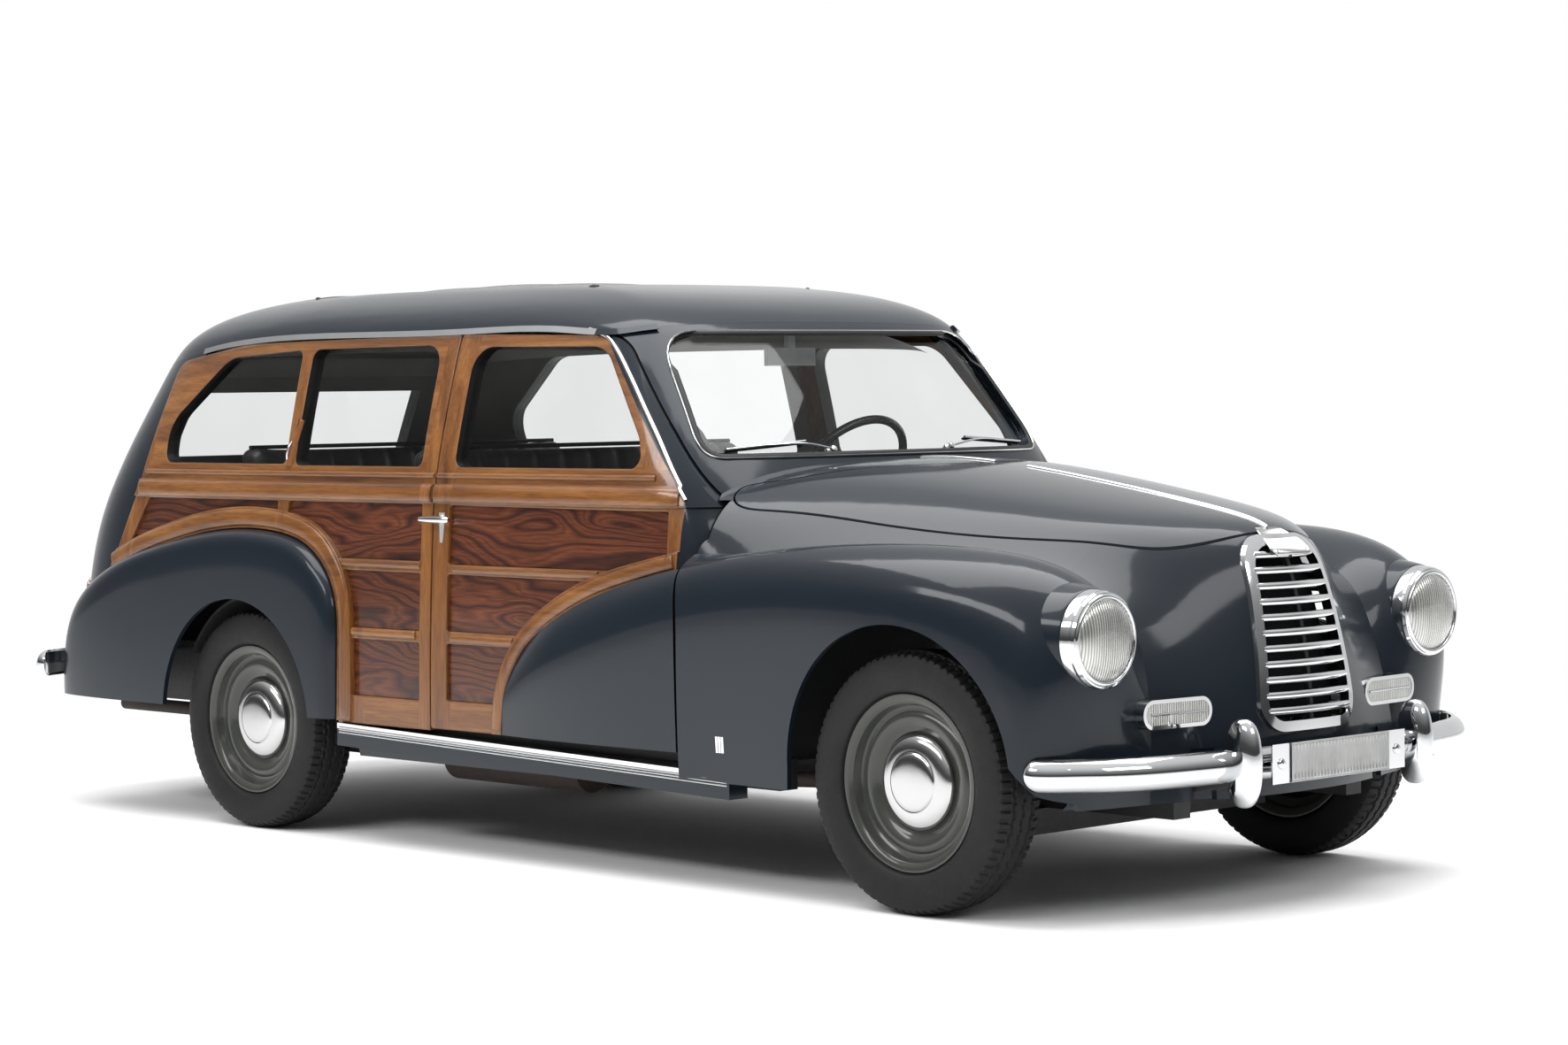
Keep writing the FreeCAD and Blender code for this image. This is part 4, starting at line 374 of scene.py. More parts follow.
def oak(name, lying="X", uprights=(), doors=False):
    """Varnished timber whose members lie along one axis, apart from the uprights (x, x, z, z)."""
    tones = (0.088, 0.029, 0.006), (0.170, 0.062, 0.012), (0.262, 0.110, 0.026)
    made = Finish(name, Coat_Weight=0.7, Coat_Roughness=0.10, Specular_IOR_Level=0.25)
    colour, height = grain(made, lying, *tones)
    parts = split_place(made)
    if uprights:
        standing, _ = grain(made, "Z", *tones)
        mask = None
        for x_low, x_high, z_low, z_high in uprights:
            across, tall = inside(made, parts, x_low, x_high, 0), inside(made, parts, z_low, z_high, 2)
            here = made.math("MULTIPLY", across, tall)
            mask = here if mask is None else made.math("MAXIMUM", mask, here)
        colour = made.mix(mask, colour, standing)
    soft = made.add("ShaderNodeBevel", samples=6)
    soft.inputs["Radius"].default_value = 6 * MM
    made.colour(colour)
    made.roughness(height, 0.32, 0.46)
    ridge = made.add("ShaderNodeBump")
    ridge.inputs["Strength"].default_value = 0.10
    ridge.inputs["Distance"].default_value = 0.4 * MM
    made.link(height, ridge.inputs["Height"])
    made.link(soft.outputs["Normal"], ridge.inputs["Normal"])
    made.link(ridge.outputs["Normal"], made.shader.inputs["Normal"])
    made.link(soft.outputs["Normal"], made.shader.inputs["Coat Normal"])
    if doors:
        above_belt = made.math("GREATER_THAN", parts.outputs[2], BELT_LOW)
        pillar = made.math("MULTIPLY", above_belt, along_line(made, parts, PILLAR_SLOPE, PILLAR_LIMIT))
        ahead = made.math("GREATER_THAN", parts.outputs[0], DOOR_WOOD_END)
        painted_where(made, made.math("MAXIMUM", pillar, ahead))
    return made.material


def figured_wood(name):
    """Crown-cut veneer: growth rings cut lengthwise, red-brown with darker streaks."""
    dark, mid, light = (0.032, 0.008, 0.004), (0.088, 0.023, 0.009), (0.155, 0.046, 0.017)
    made = Finish(name, Coat_Weight=0.7, Coat_Roughness=0.08, Specular_IOR_Level=0.25)
    heap = made.noise(made.place((0.85, 1.0, 3.6)), 1.7, 2, 0.42, 0.3)
    parts = split_place(made)
    level = made.math("ADD", made.math("MULTIPLY", heap, 13.0), made.math("MULTIPLY", parts.outputs[2], 24.0))
    rings = made.math("PINGPONG", level, 0.5)
    spread = made.math("MULTIPLY", rings, 2.0)
    streaks = made.noise(made.place((2.0, 30, 42)), 5, 5, 0.7, 0.8)
    patch = made.noise(made.place((0.9, 1, 3)), 2.2, 3, 0.5)
    tone = made.ramp(spread, [(0.0, dark), (0.30, mid), (0.70, light), (1.0, mid)])
    lines = made.ramp(streaks, [(0.36, (0.42, 0.34, 0.32)), (0.58, (1, 1, 1))])
    shade = made.ramp(patch, [(0.30, (0.62, 0.54, 0.50)), (0.66, (1.0, 1.0, 1.0))])
    made.colour(made.mix(0.8, made.mix(0.8, tone, lines, "MULTIPLY"), shade, "MULTIPLY"))
    made.roughness(streaks, 0.28, 0.42)
    return made.material


# Uprights of the side frame in side view: from, to, bottom and top
BELT_LOW = 0.938
UPRIGHTS = [(x_low + REAR_AXLE, x_high + REAR_AXLE, z_low, z_high) for x_low, x_high, z_low, z_high in (
    (-0.80, -0.575, 0.30, BELT_LOW), (-0.575, -0.520, 0.84, BELT_LOW), (0.151, 0.192, 0.80, BELT_LOW),
    (0.462, 0.556, 0.30, 0.76), (0.796, 0.928, 0.30, 1.50), (0.150, 0.270, 1.036, 1.346),
    (-0.80, -0.535, 1.03, 1.30), (1.104, 1.178, 0.30, 0.56), (1.750, 1.900, 0.76, BELT_LOW),
    (1.640, 1.900, 1.03, 1.40))]

# Where timber and chrome give way to paint, in side view
BODY_COLOUR = (0.0050, 0.0092, 0.0150)
PILLAR_SLOPE = 1.11
PILLAR_LIMIT = 2.942 + PILLAR_SLOPE * REAR_AXLE
DOOR_WOOD_END = 1.787 + REAR_AXLE
STRIP_SLOPE = 0.0256
STRIP_LIMIT = 0.327 + STRIP_SLOPE * REAR_AXLE
RAIL_END = 1.375 + REAR_AXLE
STRIP_BELOW = 0.6

BODY = paint("body_paint", BODY_COLOUR)
WHEEL = paint("wheel_paint", (0.040, 0.042, 0.037), 1.0, 0.32)
CHROME = polished("chrome", (0.64, 0.65, 0.66), 0.04, 0.08)
CAP_METAL = polished("cap_metal", (0.50, 0.50, 0.50), 0.09, 0.16)
TRIM = trim_chrome("trim_chrome")
BACKING = satin_metal("mirror_back", (0.42, 0.42, 0.42), 0.35)
GLASS = window_glass("window_glass")
LENS = lens_glass("lamp_glass")
TYRE = rubber("tyre_rubber", (0.0062, 0.0060, 0.0063))
SEAL = rubber("seal_rubber", (0.006, 0.006, 0.006), 0.45)
UNDER = satin_metal("underside_black", (0.016, 0.016, 0.017), 0.6)
CORE = satin_metal("radiator_black", (0.006, 0.006, 0.006), 0.7)
CAST = satin_metal("cast_metal", (0.10, 0.105, 0.10), 0.6, 0.4)
RUST = satin_metal("exhaust_brown", (0.030, 0.019, 0.015), 0.75)
LEATHER = leather("seat_leather", (0.016, 0.016, 0.017))
CLOTH = canvas("roof_canvas", (0.085, 0.088, 0.088))
LINING = canvas("lining_cloth", (0.20, 0.19, 0.17))
CARPET = canvas("floor_carpet", (0.035, 0.033, 0.032))
FASCIA = paint("fascia_paint", (0.014, 0.018, 0.023), 0.6, 0.35)
BAKELITE = satin_metal("steering_black", (0.020, 0.019, 0.018), 0.25)
DIAL = satin_metal("dial_cream", (0.42, 0.39, 0.31), 0.4)
RED_LENS = lens_glass("tail_lamp_red", (0.45, 0.012, 0.010), 60, "Z", 0.2)
PLATE = satin_metal("plate_metal", (0.46, 0.465, 0.46), 0.34, 0.6)
MIRROR = polished("mirror_silver", (0.86, 0.87, 0.87), 0.02, 0.04)
OAK_SIDE = oak("oak_side", "X", UPRIGHTS)
OAK_DOOR = oak("oak_door", "X", UPRIGHTS, doors=True)
OAK_GATE = oak("oak_gate", "Y")
OAK_UP = oak("oak_upright", "Z")
ROSEWOOD = figured_wood("rosewood")

FINISHES = {
    BODY: ["roof", "rear_wing_left", "rear_wing_right", "front_wing_left", "front_wing_right", "nose_panel",
           "scuttle", "tail_frame", "bonnet", "door_wing_tail_left", "door_wing_tail_right"],
    GLASS: ["windscreen", "quarter_glass", "door_glass_left", "door_glass_right", "tailgate_glass"],
    LENS: ["lamp_lenses"],
    CHROME: ["grille", "lamp_rims", "front_bumper", "rear_bumper", "number_plate"],
    TRIM: ["side_trims"],
    UNDER: ["floor_pan", "wheelhouses", "frame_rails", "steering_column", "front_axle_beam", "rear_axle",
            "knuckle_left", "knuckle_right", "fuel_tank"],
    CAST: ["engine"],
    RUST: ["exhaust"],
    CLOTH: ["roof_cover"],
    FASCIA: ["dashboard"],
    BAKELITE: ["steering_wheel"],
    RED_LENS: ["tail_lamps"],
    MIRROR: ["mirror"],
    LEATHER: ["front_bench", "rear_bench"],
    WHEEL: ["wheel_front_left", "wheel_front_right", "wheel_rear_left", "wheel_rear_right"],
    TYRE: ["tyre_front_left", "tyre_front_right", "tyre_rear_left", "tyre_rear_right"],
    OAK_SIDE: ["quarter_left", "quarter_right"],
    OAK_DOOR: ["door_left", "door_right"],
    OAK_GATE: ["tailgate_upper", "tailgate_lower"],
    ROSEWOOD: ["side_veneers", "door_veneer_left", "door_veneer_right", "tailgate_veneer"],
}
INNER_FACES = {"roof": LINING, "roof_cover": LINING, "floor_pan": CARPET, "tail_frame": LINING}
REVEALS = "quarter_left", "quarter_right", "door_left", "door_right", "tailgate_upper"
PANES = "quarter_glass", "door_glass_left", "door_glass_right", "tailgate_glass"
GLASS_BOXES = [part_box(name) for name in PANES]


def beside_glass(place):
    """Whether a place lies close round one of the panes, seen from the side or from behind."""
    for low, high in GLASS_BOXES:
        if low[0] - 0.045 < place.x < high[0] + 0.045 and low[2] - 0.012 < place.z < high[2] + 0.012:
            return True
    return False


def second_finish(name, face):
    """The finish of a face that doesn't take the node's own, if it has one."""
    if name in INNER_FACES:
        towards = at(0.4, 0, 0.85) - face.center
        return INNER_FACES[name] if face.normal.dot(towards) > 0.25 * towards.length else None
    if name in REVEALS:
        rear = name == "tailgate_upper"
        outward = face.normal.x if rear else face.normal.y
        outer_edge = rear and abs(face.center.y) > 0.495
        if abs(outward) < 0.35 and beside_glass(face.center) and not outer_edge:
            return SEAL
        looks_in = face.normal.x > 0.5 if rear else face.normal.y * face.center.y < -0.3 * abs(face.center.y)
        return LINING if looks_in and not name.startswith("door") else None
    if name == "grille":
        narrow = all(abs(NODES[name].data.vertices[corner].co.y) < 0.0065 for corner in face.vertices)
        return CORE if narrow else None
    if name == "mirror":
        return BACKING if face.normal.x > -0.5 else None
    return None


def finish_node(name, material):
    """Gives a CAD node its material, and others on the faces that differ."""
    mesh = NODES[name].data
    mesh.materials.clear()
    mesh.materials.append(material)
    for face in mesh.polygons:
        other = second_finish(name, face)
        if other and other.name not in mesh.materials:
            mesh.materials.append(other)
        face.material_index = mesh.materials.find(other.name) if other else 0


def finish_nodes():
    for material, names in FINISHES.items():
        for name in names:
            finish_node(name, material)


# Floor, backdrop and lights
FLOOR_FADE = 2.9, 5.0
FLOOR_REACH = 60


def make_floor():
    """A pale floor that takes the shadow and fades into the white backdrop."""
    made = Finish("floor_white", Specular_IOR_Level=0.0)
    made.colour(made.ramp(made.noise(made.place(), 2, 2), [(0.3, (0.90,) * 3), (0.7, (0.91,) * 3)]))
    made.roughness(made.noise(made.place(), 5, 2), 0.85, 0.95)
    spread = made.add("ShaderNodeVectorMath", operation="LENGTH")
    made.link(made.place((0.72, 1, 1)), spread.inputs[0])
    fade = made.add("ShaderNodeMapRange", interpolation_type="SMOOTHSTEP")
    fade.inputs["From Min"].default_value, fade.inputs["From Max"].default_value = FLOOR_FADE
    made.link(spread.outputs["Value"], fade.inputs["Value"])
    path = made.add("ShaderNodeLightPath")
    glow = made.add("ShaderNodeEmission")
    faded = made.math("MULTIPLY", fade.outputs["Result"], path.outputs["Is Camera Ray"])
    made.link(made.blend(faded, made.shader.outputs["BSDF"], glow.outputs["Emission"]), made.surface)
    mesh = bpy.data.meshes.new("floor")
    corners = [(x * FLOOR_REACH, y * FLOOR_REACH, 0) for x, y in ((-1, -1), (1, -1), (1, 1), (-1, 1))]
    mesh.from_pydata(corners, [], [(0, 1, 2, 3)])
    floor = bpy.data.objects.new("floor", mesh)
    bpy.context.scene.collection.objects.link(floor)
    mesh.materials.append(made.material)


# How bright the room is at heights from the floor to overhead, and the pale wall on its far side
ROOM_LEVELS = (0.0, 0.06), (0.12, 0.09), (0.36, 0.34), (0.64, 0.78), (0.88, 1.0)
FAR_WALL_WAY = (-0.55, 0.83, 0)
FAR_WALL_EDGE = 0.10, 0.60
FAR_WALL_LEVEL = 0.85


def make_backdrop():
    """White for the camera; for the object a room that is dim at eye level on the near side."""
    world = bpy.data.worlds.new("studio")
    bpy.context.scene.world = world
    world.use_nodes = True
    made = Nodes(world.node_tree)
    room = made.tree.nodes["Background"]
    white = made.add("ShaderNodeBackground")
    white.inputs["Color"].default_value = (1, 1, 1, 1)
    way = made.add("ShaderNodeTexCoord").outputs["Generated"]
    parts = made.add("ShaderNodeSeparateXYZ")
    made.link(way, parts.inputs["Vector"])
    above = made.ramp(parts.outputs["Z"], [(height, (level,) * 3) for height, level in ROOM_LEVELS])
    across = made.add("ShaderNodeVectorMath", operation="DOT_PRODUCT")
    across.inputs[1].default_value = FAR_WALL_WAY
    made.link(way, across.inputs[0])
    wall = made.add("ShaderNodeMapRange")
    wall.inputs["From Min"].default_value, wall.inputs["From Max"].default_value = FAR_WALL_EDGE
    wall.inputs["To Max"].default_value = FAR_WALL_LEVEL
    made.link(across.outputs["Value"], wall.inputs["Value"])
    made.link(made.math("MAXIMUM", above, wall.outputs["Result"]), room.inputs["Color"])
    seen = made.add("ShaderNodeLightPath").outputs["Is Camera Ray"]
    both = made.blend(seen, room.outputs["Background"], white.outputs["Background"])
    made.link(both, made.tree.nodes["World Output"].inputs["Surface"])


def soft_light(name, place, aim, width, depth, power):
    data = bpy.data.lights.new(name, "AREA")
    data.shape = "RECTANGLE"
    data.size = width
    data.size_y = depth
    data.energy = power
    light = bpy.data.objects.new(name, data)
    bpy.context.scene.collection.objects.link(light)
    light.location = place
    light.rotation_euler = (Vector(aim) - Vector(place)).to_track_quat("-Z", "Y").to_euler()


def make_lights():
    soft_light("top_light", (0.6, -0.4, 5.0), (0.2, 0, 0), 7.5, 3.2, 420)
    soft_light("near_light", (-0.4, -7.0, 5.0), (0, 0, 0.6), 6.5, 1.3, 250)
    soft_light("front_light", (7.5, -1.0, 4.6), (1.6, 0, 0.7), 4.5, 1.6, 130)


# Mesh pieces
def add_piece(name, mesh, material, body, sharp=35):
    piece = bpy.data.objects.new(name, mesh)
    bpy.context.scene.collection.objects.link(piece)
    mesh.materials.append(material)
    mesh.shade_smooth()
    mesh.set_sharp_from_angle(angle=math.radians(sharp))
    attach(piece, body)
    return piece


def grid_mesh(name, rows, ring_rows=False, ring_columns=False, ends=False):
    """A mesh through a grid of places, closed on itself either way, with its two ends filled."""
    mesh = bpy.data.meshes.new(name)
    count, wide = len(rows), len(rows[0])
    faces = []
    for i in range(count if ring_rows else count - 1):
        for j in range(wide if ring_columns else wide - 1):
            here, after = i * wide, (i + 1) % count * wide
            faces.append((here + j, here + (j + 1) % wide, after + (j + 1) % wide, after + j))
    if ends:
        faces.append(tuple(reversed(range(wide))))
        faces.append(tuple((count - 1) * wide + j for j in range(wide)))
    mesh.from_pydata([tuple(place) for row in rows for place in row], [], faces)
    work = bmesh.new()
    work.from_mesh(mesh)
    bmesh.ops.recalc_face_normals(work, faces=work.faces)
    work.to_mesh(mesh)
    work.free()
    return mesh


def grid_piece(name, rows, material, body, sharp=35, **closing):
    """A piece through a grid of places, with whatever closes it."""
    return add_piece(name, grid_mesh(name, rows, **closing), material, body, sharp)


def circle(centre, first, second, radius, count):
    """Places round a circle that two directions span."""
    turns = [2 * math.pi * k / count for k in range(count)]
    return [centre + (first * math.cos(turn) + second * math.sin(turn)) * radius for turn in turns]


def thicken(piece, depth):
    piece.modifiers.new("thickness", "SOLIDIFY").thickness = depth


def body_of(node, label):
    """The body that carries what lies on a door or on a quarter."""
    return "door_" + label if node == "door_" else "body"


def frames(places, normals, closed):
    """At each place of a path, the direction across it and the one away from what carries it."""
    made = []
    last = len(places) - 1
    for index, place in enumerate(places):
        before = places[index - 1] if closed or index else place
        after = places[(index + 1) % len(places)] if closed or index < last else place
        way = (after - before).normalized()
        side = way.cross(normals[index]).normalized()
        made.append((place, side, side.cross(way).normalized()))
    return made


def strip(name, places, normals, width, rise, material, body, closed=False, sink=1.0):
    """A half-round bead laid along places on a surface."""
    steps = 8
    rows = []
    for place, side, up in frames(places, normals, closed):
        row = [place - up * (sink * MM) + side * (width / 2 * math.cos(math.pi * k / steps)) +
               up * ((rise + sink * MM) * math.sin(math.pi * k / steps)) for k in range(steps + 1)]
        rows.append(row)
    return grid_piece(name, rows, material, body, ring_rows=closed, ring_columns=True, ends=not closed)


# Roughly up, but a direction that no tube runs along
TUBE_UP = Vector((0.13, 0.21, 0.97))
RAY_START = 6


def tube(name, places, radius, material, body, closed=False, sides=12):
    standing = frames(places, [TUBE_UP] * len(places), closed)
    rows = [circle(place, side, lift, radius, sides) for place, side, lift in standing]
    return grid_piece(name, rows, material, body, ring_rows=closed, ring_columns=True, ends=not closed)


def smooth_path(points, count):
    """Places evenly spread along a curve through the points."""
    points = [Vector(point) for point in points]
    padded = [2 * points[0] - points[1]] + points + [2 * points[-1] - points[-2]]
    made = []
    spans = len(points) - 1
    for step in range(count + 1):
        along = step / count * spans
        index = min(int(along), spans - 1)
        t = along - index
        a, b, c, d = padded[index:index + 4]
        square, cube = 2 * a - 5 * b + 4 * c - d, 3 * b - a - 3 * c + d
        made.append(0.5 * (2 * b + (c - a) * t + square * t ** 2 + cube * t ** 3))
    return made


def surface_of(*names):
    work = bmesh.new()
    for name in names:
        work.from_mesh(NODES[name].data)
    tree = BVHTree.FromBMesh(work)
    work.free()
    return tree


def laid_on(tree, places, way):
    """The places where rays along a direction meet a surface, with the normals there."""
    found, normals = [], []
    for place in places:
        hit, normal, _, _ = tree.ray_cast(Vector(place) - Vector(way) * RAY_START, Vector(way))
        if hit is None:
            continue
        found.append(hit)
        normals.append(normal if normal.dot(Vector(way)) < 0 else -normal)
    return found, normals


def lathe(name, profile, centre, outward, material, body, turns=128, sharp=35):
    """A profile of (radius, outward) pairs turned about the wheel's axis."""
    rows = []
    for step in range(turns):
        angle = 2 * math.pi * step / turns
        out = Vector((math.cos(angle), 0, math.sin(angle)))
        rows.append([centre + out * r + Vector((0, outward * a, 0)) for r, a in profile])
    return grid_piece(name, rows, material, body, sharp, ring_rows=True)


def rounded(profile, count):
    return [(point.x, point.y) for point in smooth_path([(a, b, 0) for a, b in profile], count)]


# Wheels
RIM_SHARES = [
    (0.50, 0.30), (0.585, 0.33), (0.635, 0.44), (0.69, 0.545), (0.745, 0.580), (0.785, 0.545), (0.815, 0.475),
    (0.845, 0.475), (0.872, 0.530), (0.893, 0.70), (0.905, 0.86), (0.935, 0.955), (0.975, 1.0), (1.01, 1.0),
    (1.01, 0.93), (0.975, 0.90), (0.937, 0.88), (0.925, 0.55), (0.86, 0.42), (0.82, 0.34), (0.82, -0.34),
    (0.86, -0.42), (0.925, -0.55), (0.937, -0.88), (0.975, -0.90), (1.01, -0.93), (1.01, -1.0), (0.975, -1.0),
    (0.905, -0.86), (0.885, -0.51), (0.79, -0.34), (0.79, 0.14), (0.73, 0.41), (0.67, 0.37), (0.58, 0.15),
    (0.29, 0.15)]
CAP_SHARES = [
    (0.0, 0.915), (0.12, 0.905), (0.22, 0.885), (0.29, 0.855), (0.325, 0.820), (0.340, 0.775), (0.352, 0.760),
    (0.40, 0.745), (0.455, 0.705), (0.500, 0.640), (0.530, 0.560), (0.547, 0.470), (0.550, 0.36),
    (0.535, 0.335), (0.50, 0.33)]
# A black ring in the gap round the hub cap, in seal rubber: painted shadow
CAP_SHADOW_SHARES = (0.552, 0.36), (0.575, 0.345), (0.580, 0.325), (0.50, 0.30)
TYRE_SHARES = [
    (0.622, 0.42), (0.632, 0.66), (0.660, 0.705), (0.682, 0.725), (0.690, 0.80), (0.700, 0.875),
    (0.735, 0.945), (0.775, 0.982), (0.820, 0.998), (0.862, 0.995), (0.900, 0.972), (0.925, 0.945),
    (0.945, 0.915)]
TREAD_HALF_SHARE = 0.86
TREAD_STEPS = 34
TREAD_TURNS = 432
TREAD_DEPTH = 5.5 * MM
ZIGZAG_TURNS = 54


def tread_depth(across, turn):
    """How deep the tread is cut: three zigzag grooves, and slits in the shoulders."""
    swing = 0.045 * (abs(2 * (turn * ZIGZAG_TURNS % 1) - 1) * 2 - 1)
    for groove in (-0.46, 0.0, 0.46):
        if abs(across - groove - swing) < 0.052:
            return TREAD_DEPTH
    if abs(across) > 0.64 and (turn * ZIGZAG_TURNS * 1.5) % 1 < 0.30:
        return TREAD_DEPTH * 0.8
    return 0.0


def make_tyre(name, centre, outward, body):
    side = [(r * TYRE_R, a * TYRE_HALF) for r, a in rounded(TYRE_SHARES, 30)]
    rows = []
    for step in range(TREAD_TURNS):
        turn = step / TREAD_TURNS
        out = Vector((math.cos(2 * math.pi * turn), 0, math.sin(2 * math.pi * turn)))
        tread = []
        for k in range(TREAD_STEPS + 1):
            across = 1 - 2 * k / TREAD_STEPS
            crown = 0.9995 - 0.030 * abs(across) ** 3.2
            tread.append((crown * TYRE_R - tread_depth(across, turn), across * TREAD_HALF_SHARE * TYRE_HALF))
        profile = side + tread + [(r, -a) for r, a in reversed(side)]
        rows.append([centre + out * r + Vector((0, outward * a, 0)) for r, a in profile])
    piece = grid_piece(name, rows, TYRE, body, 28, ring_rows=True, ring_columns=True)
    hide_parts(name.replace("_tread", ""))


def make_wheels():
    for corner in ("front_left", "front_right", "rear_left", "rear_right"):
        body = "wheel_" + corner
        centre = middle(body)
        centre = Vector((centre.x, centre.y, AXLE_UP))
        outward = 1 if centre.y > 0 else -1
        section = [(r * RIM_R, a * RIM_HALF) for r, a in RIM_SHARES]
        rim = lathe(body + "_rim", section, centre, outward, WHEEL, body, 144, 30)
        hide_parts(body)
        cap = [(max(r, 0.0001) * RIM_R, a * RIM_HALF) for r, a in rounded(CAP_SHARES, 56)]
        lathe(body + "_cap", cap, centre, outward, CAP_METAL, body, 144, 50)
        # Painted shadow: a black ring in the gap between the cap and the rim
        groove = [(r * RIM_R, a * RIM_HALF) for r, a in CAP_SHADOW_SHARES]
        lathe(body + "_cap_shadow", groove, centre, outward, SEAL, body, 96)
        make_tyre("tyre_" + corner + "_tread", centre, outward, body)


# Front of the car
BACK_WAY = (-1, 0, 0)
CORE_WIDER, CORE_MARGIN, CORE_BEHIND = 1.10, 0.02, 0.090
CORE_BULGE, FIN_DEPTH = 0.35, 4 * MM


def make_radiator():
    """The dark core behind the grille, with its upright fins."""
    low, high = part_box("grille")
    fins, levels = 90, 12
    half = (high[1] - low[1]) / 2 * CORE_WIDER
    rows = []
    for i in range(levels + 1):
        z = low[2] + CORE_MARGIN + (high[2] - low[2] - 2 * CORE_MARGIN) * i / levels
        lean = (z - low[2]) / (high[2] - low[2])
        face = laid_on(surface_of("grille"), [(0, 0.0, z)], BACK_WAY)[0]
        x = (face[0].x if face else high[0]) - CORE_BEHIND
        row = []
        for j in range(fins * 2 + 1):
            y = half * (1 - 0.22 * lean) * (j / fins - 1)
            row.append(Vector((x - CORE_BULGE * y * y + (FIN_DEPTH if j % 2 else 0), y, z)))
        rows.append(row)
    grid_piece("radiator_core", rows, CORE, "body")


# The chrome strip down the middle: start and step along the bonnet and along the cowl
BONNET_START, BONNET_STEP = 2.30, 0.012
COWL_START, COWL_STEP, COWL_LOW = 1.93, 0.01, 0.98


def make_bonnet_trim():
    bonnet = surface_of("bonnet")
    path = [at(BONNET_START + BONNET_STEP * k, 0, 0) for k in range(64)]
    places, normals = laid_on(bonnet, path, (0, 0, -1))
    strip("bonnet_strip", places, normals, 0.012, 0.006, CHROME, "bonnet")
    cowl = surface_of("scuttle")
    path = [at(COWL_START + COWL_STEP * k, 0, 0) for k in range(36)]
    places, normals = laid_on(cowl, path, (0, 0, -1))
    above = [(place, normal) for place, normal in zip(places, normals) if place.z > COWL_LOW]
    places, normals = [list(part) for part in zip(*above)]
    strip("cowl_strip", places, normals, 0.012, 0.006, CHROME, "body")


# The ribbed badge over the grille
BADGE_NOSE, BADGE_LEAN = 3.140, 0.085
BADGE_LOW, BADGE_TALL, BADGE_HALF = 0.826, 0.062, 0.074
BADGE_BULGE, BADGE_RIB, BADGE_THICK = 1.1, 1.6 * MM, 5 * MM


def make_nose_badge():
    rows = []
    levels, columns = 12, 60
    for i in range(levels + 1):
        share = i / levels
        z = BADGE_LOW + BADGE_TALL * share
        x = at(BADGE_NOSE - BADGE_LEAN * share ** 1.5, 0, 0).x
        half = BADGE_HALF * (1 - 0.45 * share ** 2) * (0.80 + 0.20 * min(share * 4, 1))
        rib = BADGE_RIB if 0 < i < levels else 0.0
        row = []
        for j in range(columns + 1):
            y = half * (2 * j / columns - 1)
            row.append(Vector((x - BADGE_BULGE * y ** 2 + rib * math.cos(math.pi * j / 2), y, z)))
        rows.append(row)
    thicken(grid_piece("nose_badge", rows, CAP_METAL, "body", 60), BADGE_THICK)


# The front skirt from top to bottom: height, and how far it draws back from the nose
VALANCE_LEVELS = ((0.405, 0.006), (0.37, 0.004), (0.335, 0.005), (0.305, 0.012), (0.282, 0.024),
                  (0.268, 0.044), (0.264, 0.070))
VALANCE_HALF = 0.700
NOSE_FEET = 0.385, 0.405, 0.43


def make_valance():
    """The painted skirt that closes the front under the nose."""
    shell = surface_of("nose_panel", "front_wing_left", "front_wing_right")
    steps = 72
    reach = []
    for j in range(steps + 1):
        y = VALANCE_HALF * (2 * j / steps - 1)
        for z in NOSE_FEET:
            found, _ = laid_on(shell, [(0, y, z)], BACK_WAY)
            if found:
                break
        reach.append((y, found[0].x if found else None))
    known = [(y, x) for y, x in reach if x]
    rows = []
    for z, inset in VALANCE_LEVELS:
        rows.append([Vector((x - inset, y * (1 - inset * 0.4), z)) for y, x in known])
    grid_piece("front_valance", rows, BODY, "body", 60)


PLATE_WIDTH_SHARE = 0.735
PLATE_PROUD, PLATE_THICK, PLATE_WAVE, PLATE_RIM = 4.5 * MM, 1.2 * MM, 2.2 * MM, 1.8 * MM


def make_number_plate():
    """A blank plate pressed with upright ribs and a plain rim."""
    low, high = (Vector(corner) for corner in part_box("number_plate"))
    low.y, high.y, high.x = PLATE_WIDTH_SHARE * low.y, PLATE_WIDTH_SHARE * high.y, high.x + PLATE_PROUD
    ribs = 30
    rows = []
    for i in range(13):
        z = low.z + (high.z - low.z) * i / 12
        row = []
        for j in range(ribs * 8 + 1):
            y = low.y + (high.y - low.y) * j / (ribs * 8)
            inner = 1 < i < 11 and 4 < j < ribs * 8 - 4
            wave = PLATE_WAVE * math.cos(math.pi * j / 4) if inner else -MM
            row.append(Vector((high.x - PLATE_THICK - wave, y, z)))
        rows.append(row)
    thicken(grid_piece("plate_ribbed", rows, PLATE, "body", 60), PLATE_THICK)
    corners = (low.y, low.z), (high.y, low.z), (high.y, high.z), (low.y, high.z)
    rim = [Vector((high.x - 0.0008, y, z)) for y, z in corners]
    for index in range(4):
        start, end = rim[index], rim[(index + 1) % 4]
        inward = (sum(rim, Vector()) / 4 - (start + end) / 2).normalized() * (2 * MM)
        edge = [start + inward, (start + end) / 2 + inward, end + inward]
        tube("plate_rim_%d" % index, edge, PLATE_RIM, PLATE, "body")


PARKING_INNER, PARKING_STEP, PARKING_UP = 0.315, 0.0105, 0.477


def make_parking_lamps():
    """A bar across each parking lamp."""
    lenses = surface_of("lamp_lenses")
    for side, label in SIDES:
        path = [(0, side * (PARKING_INNER + PARKING_STEP * k), PARKING_UP) for k in range(18)]
        places, normals = laid_on(lenses, path, BACK_WAY)
        if len(places) > 3:
            strip("parking_bar_" + label, places, normals, 0.007, 0.004, CHROME, "body")


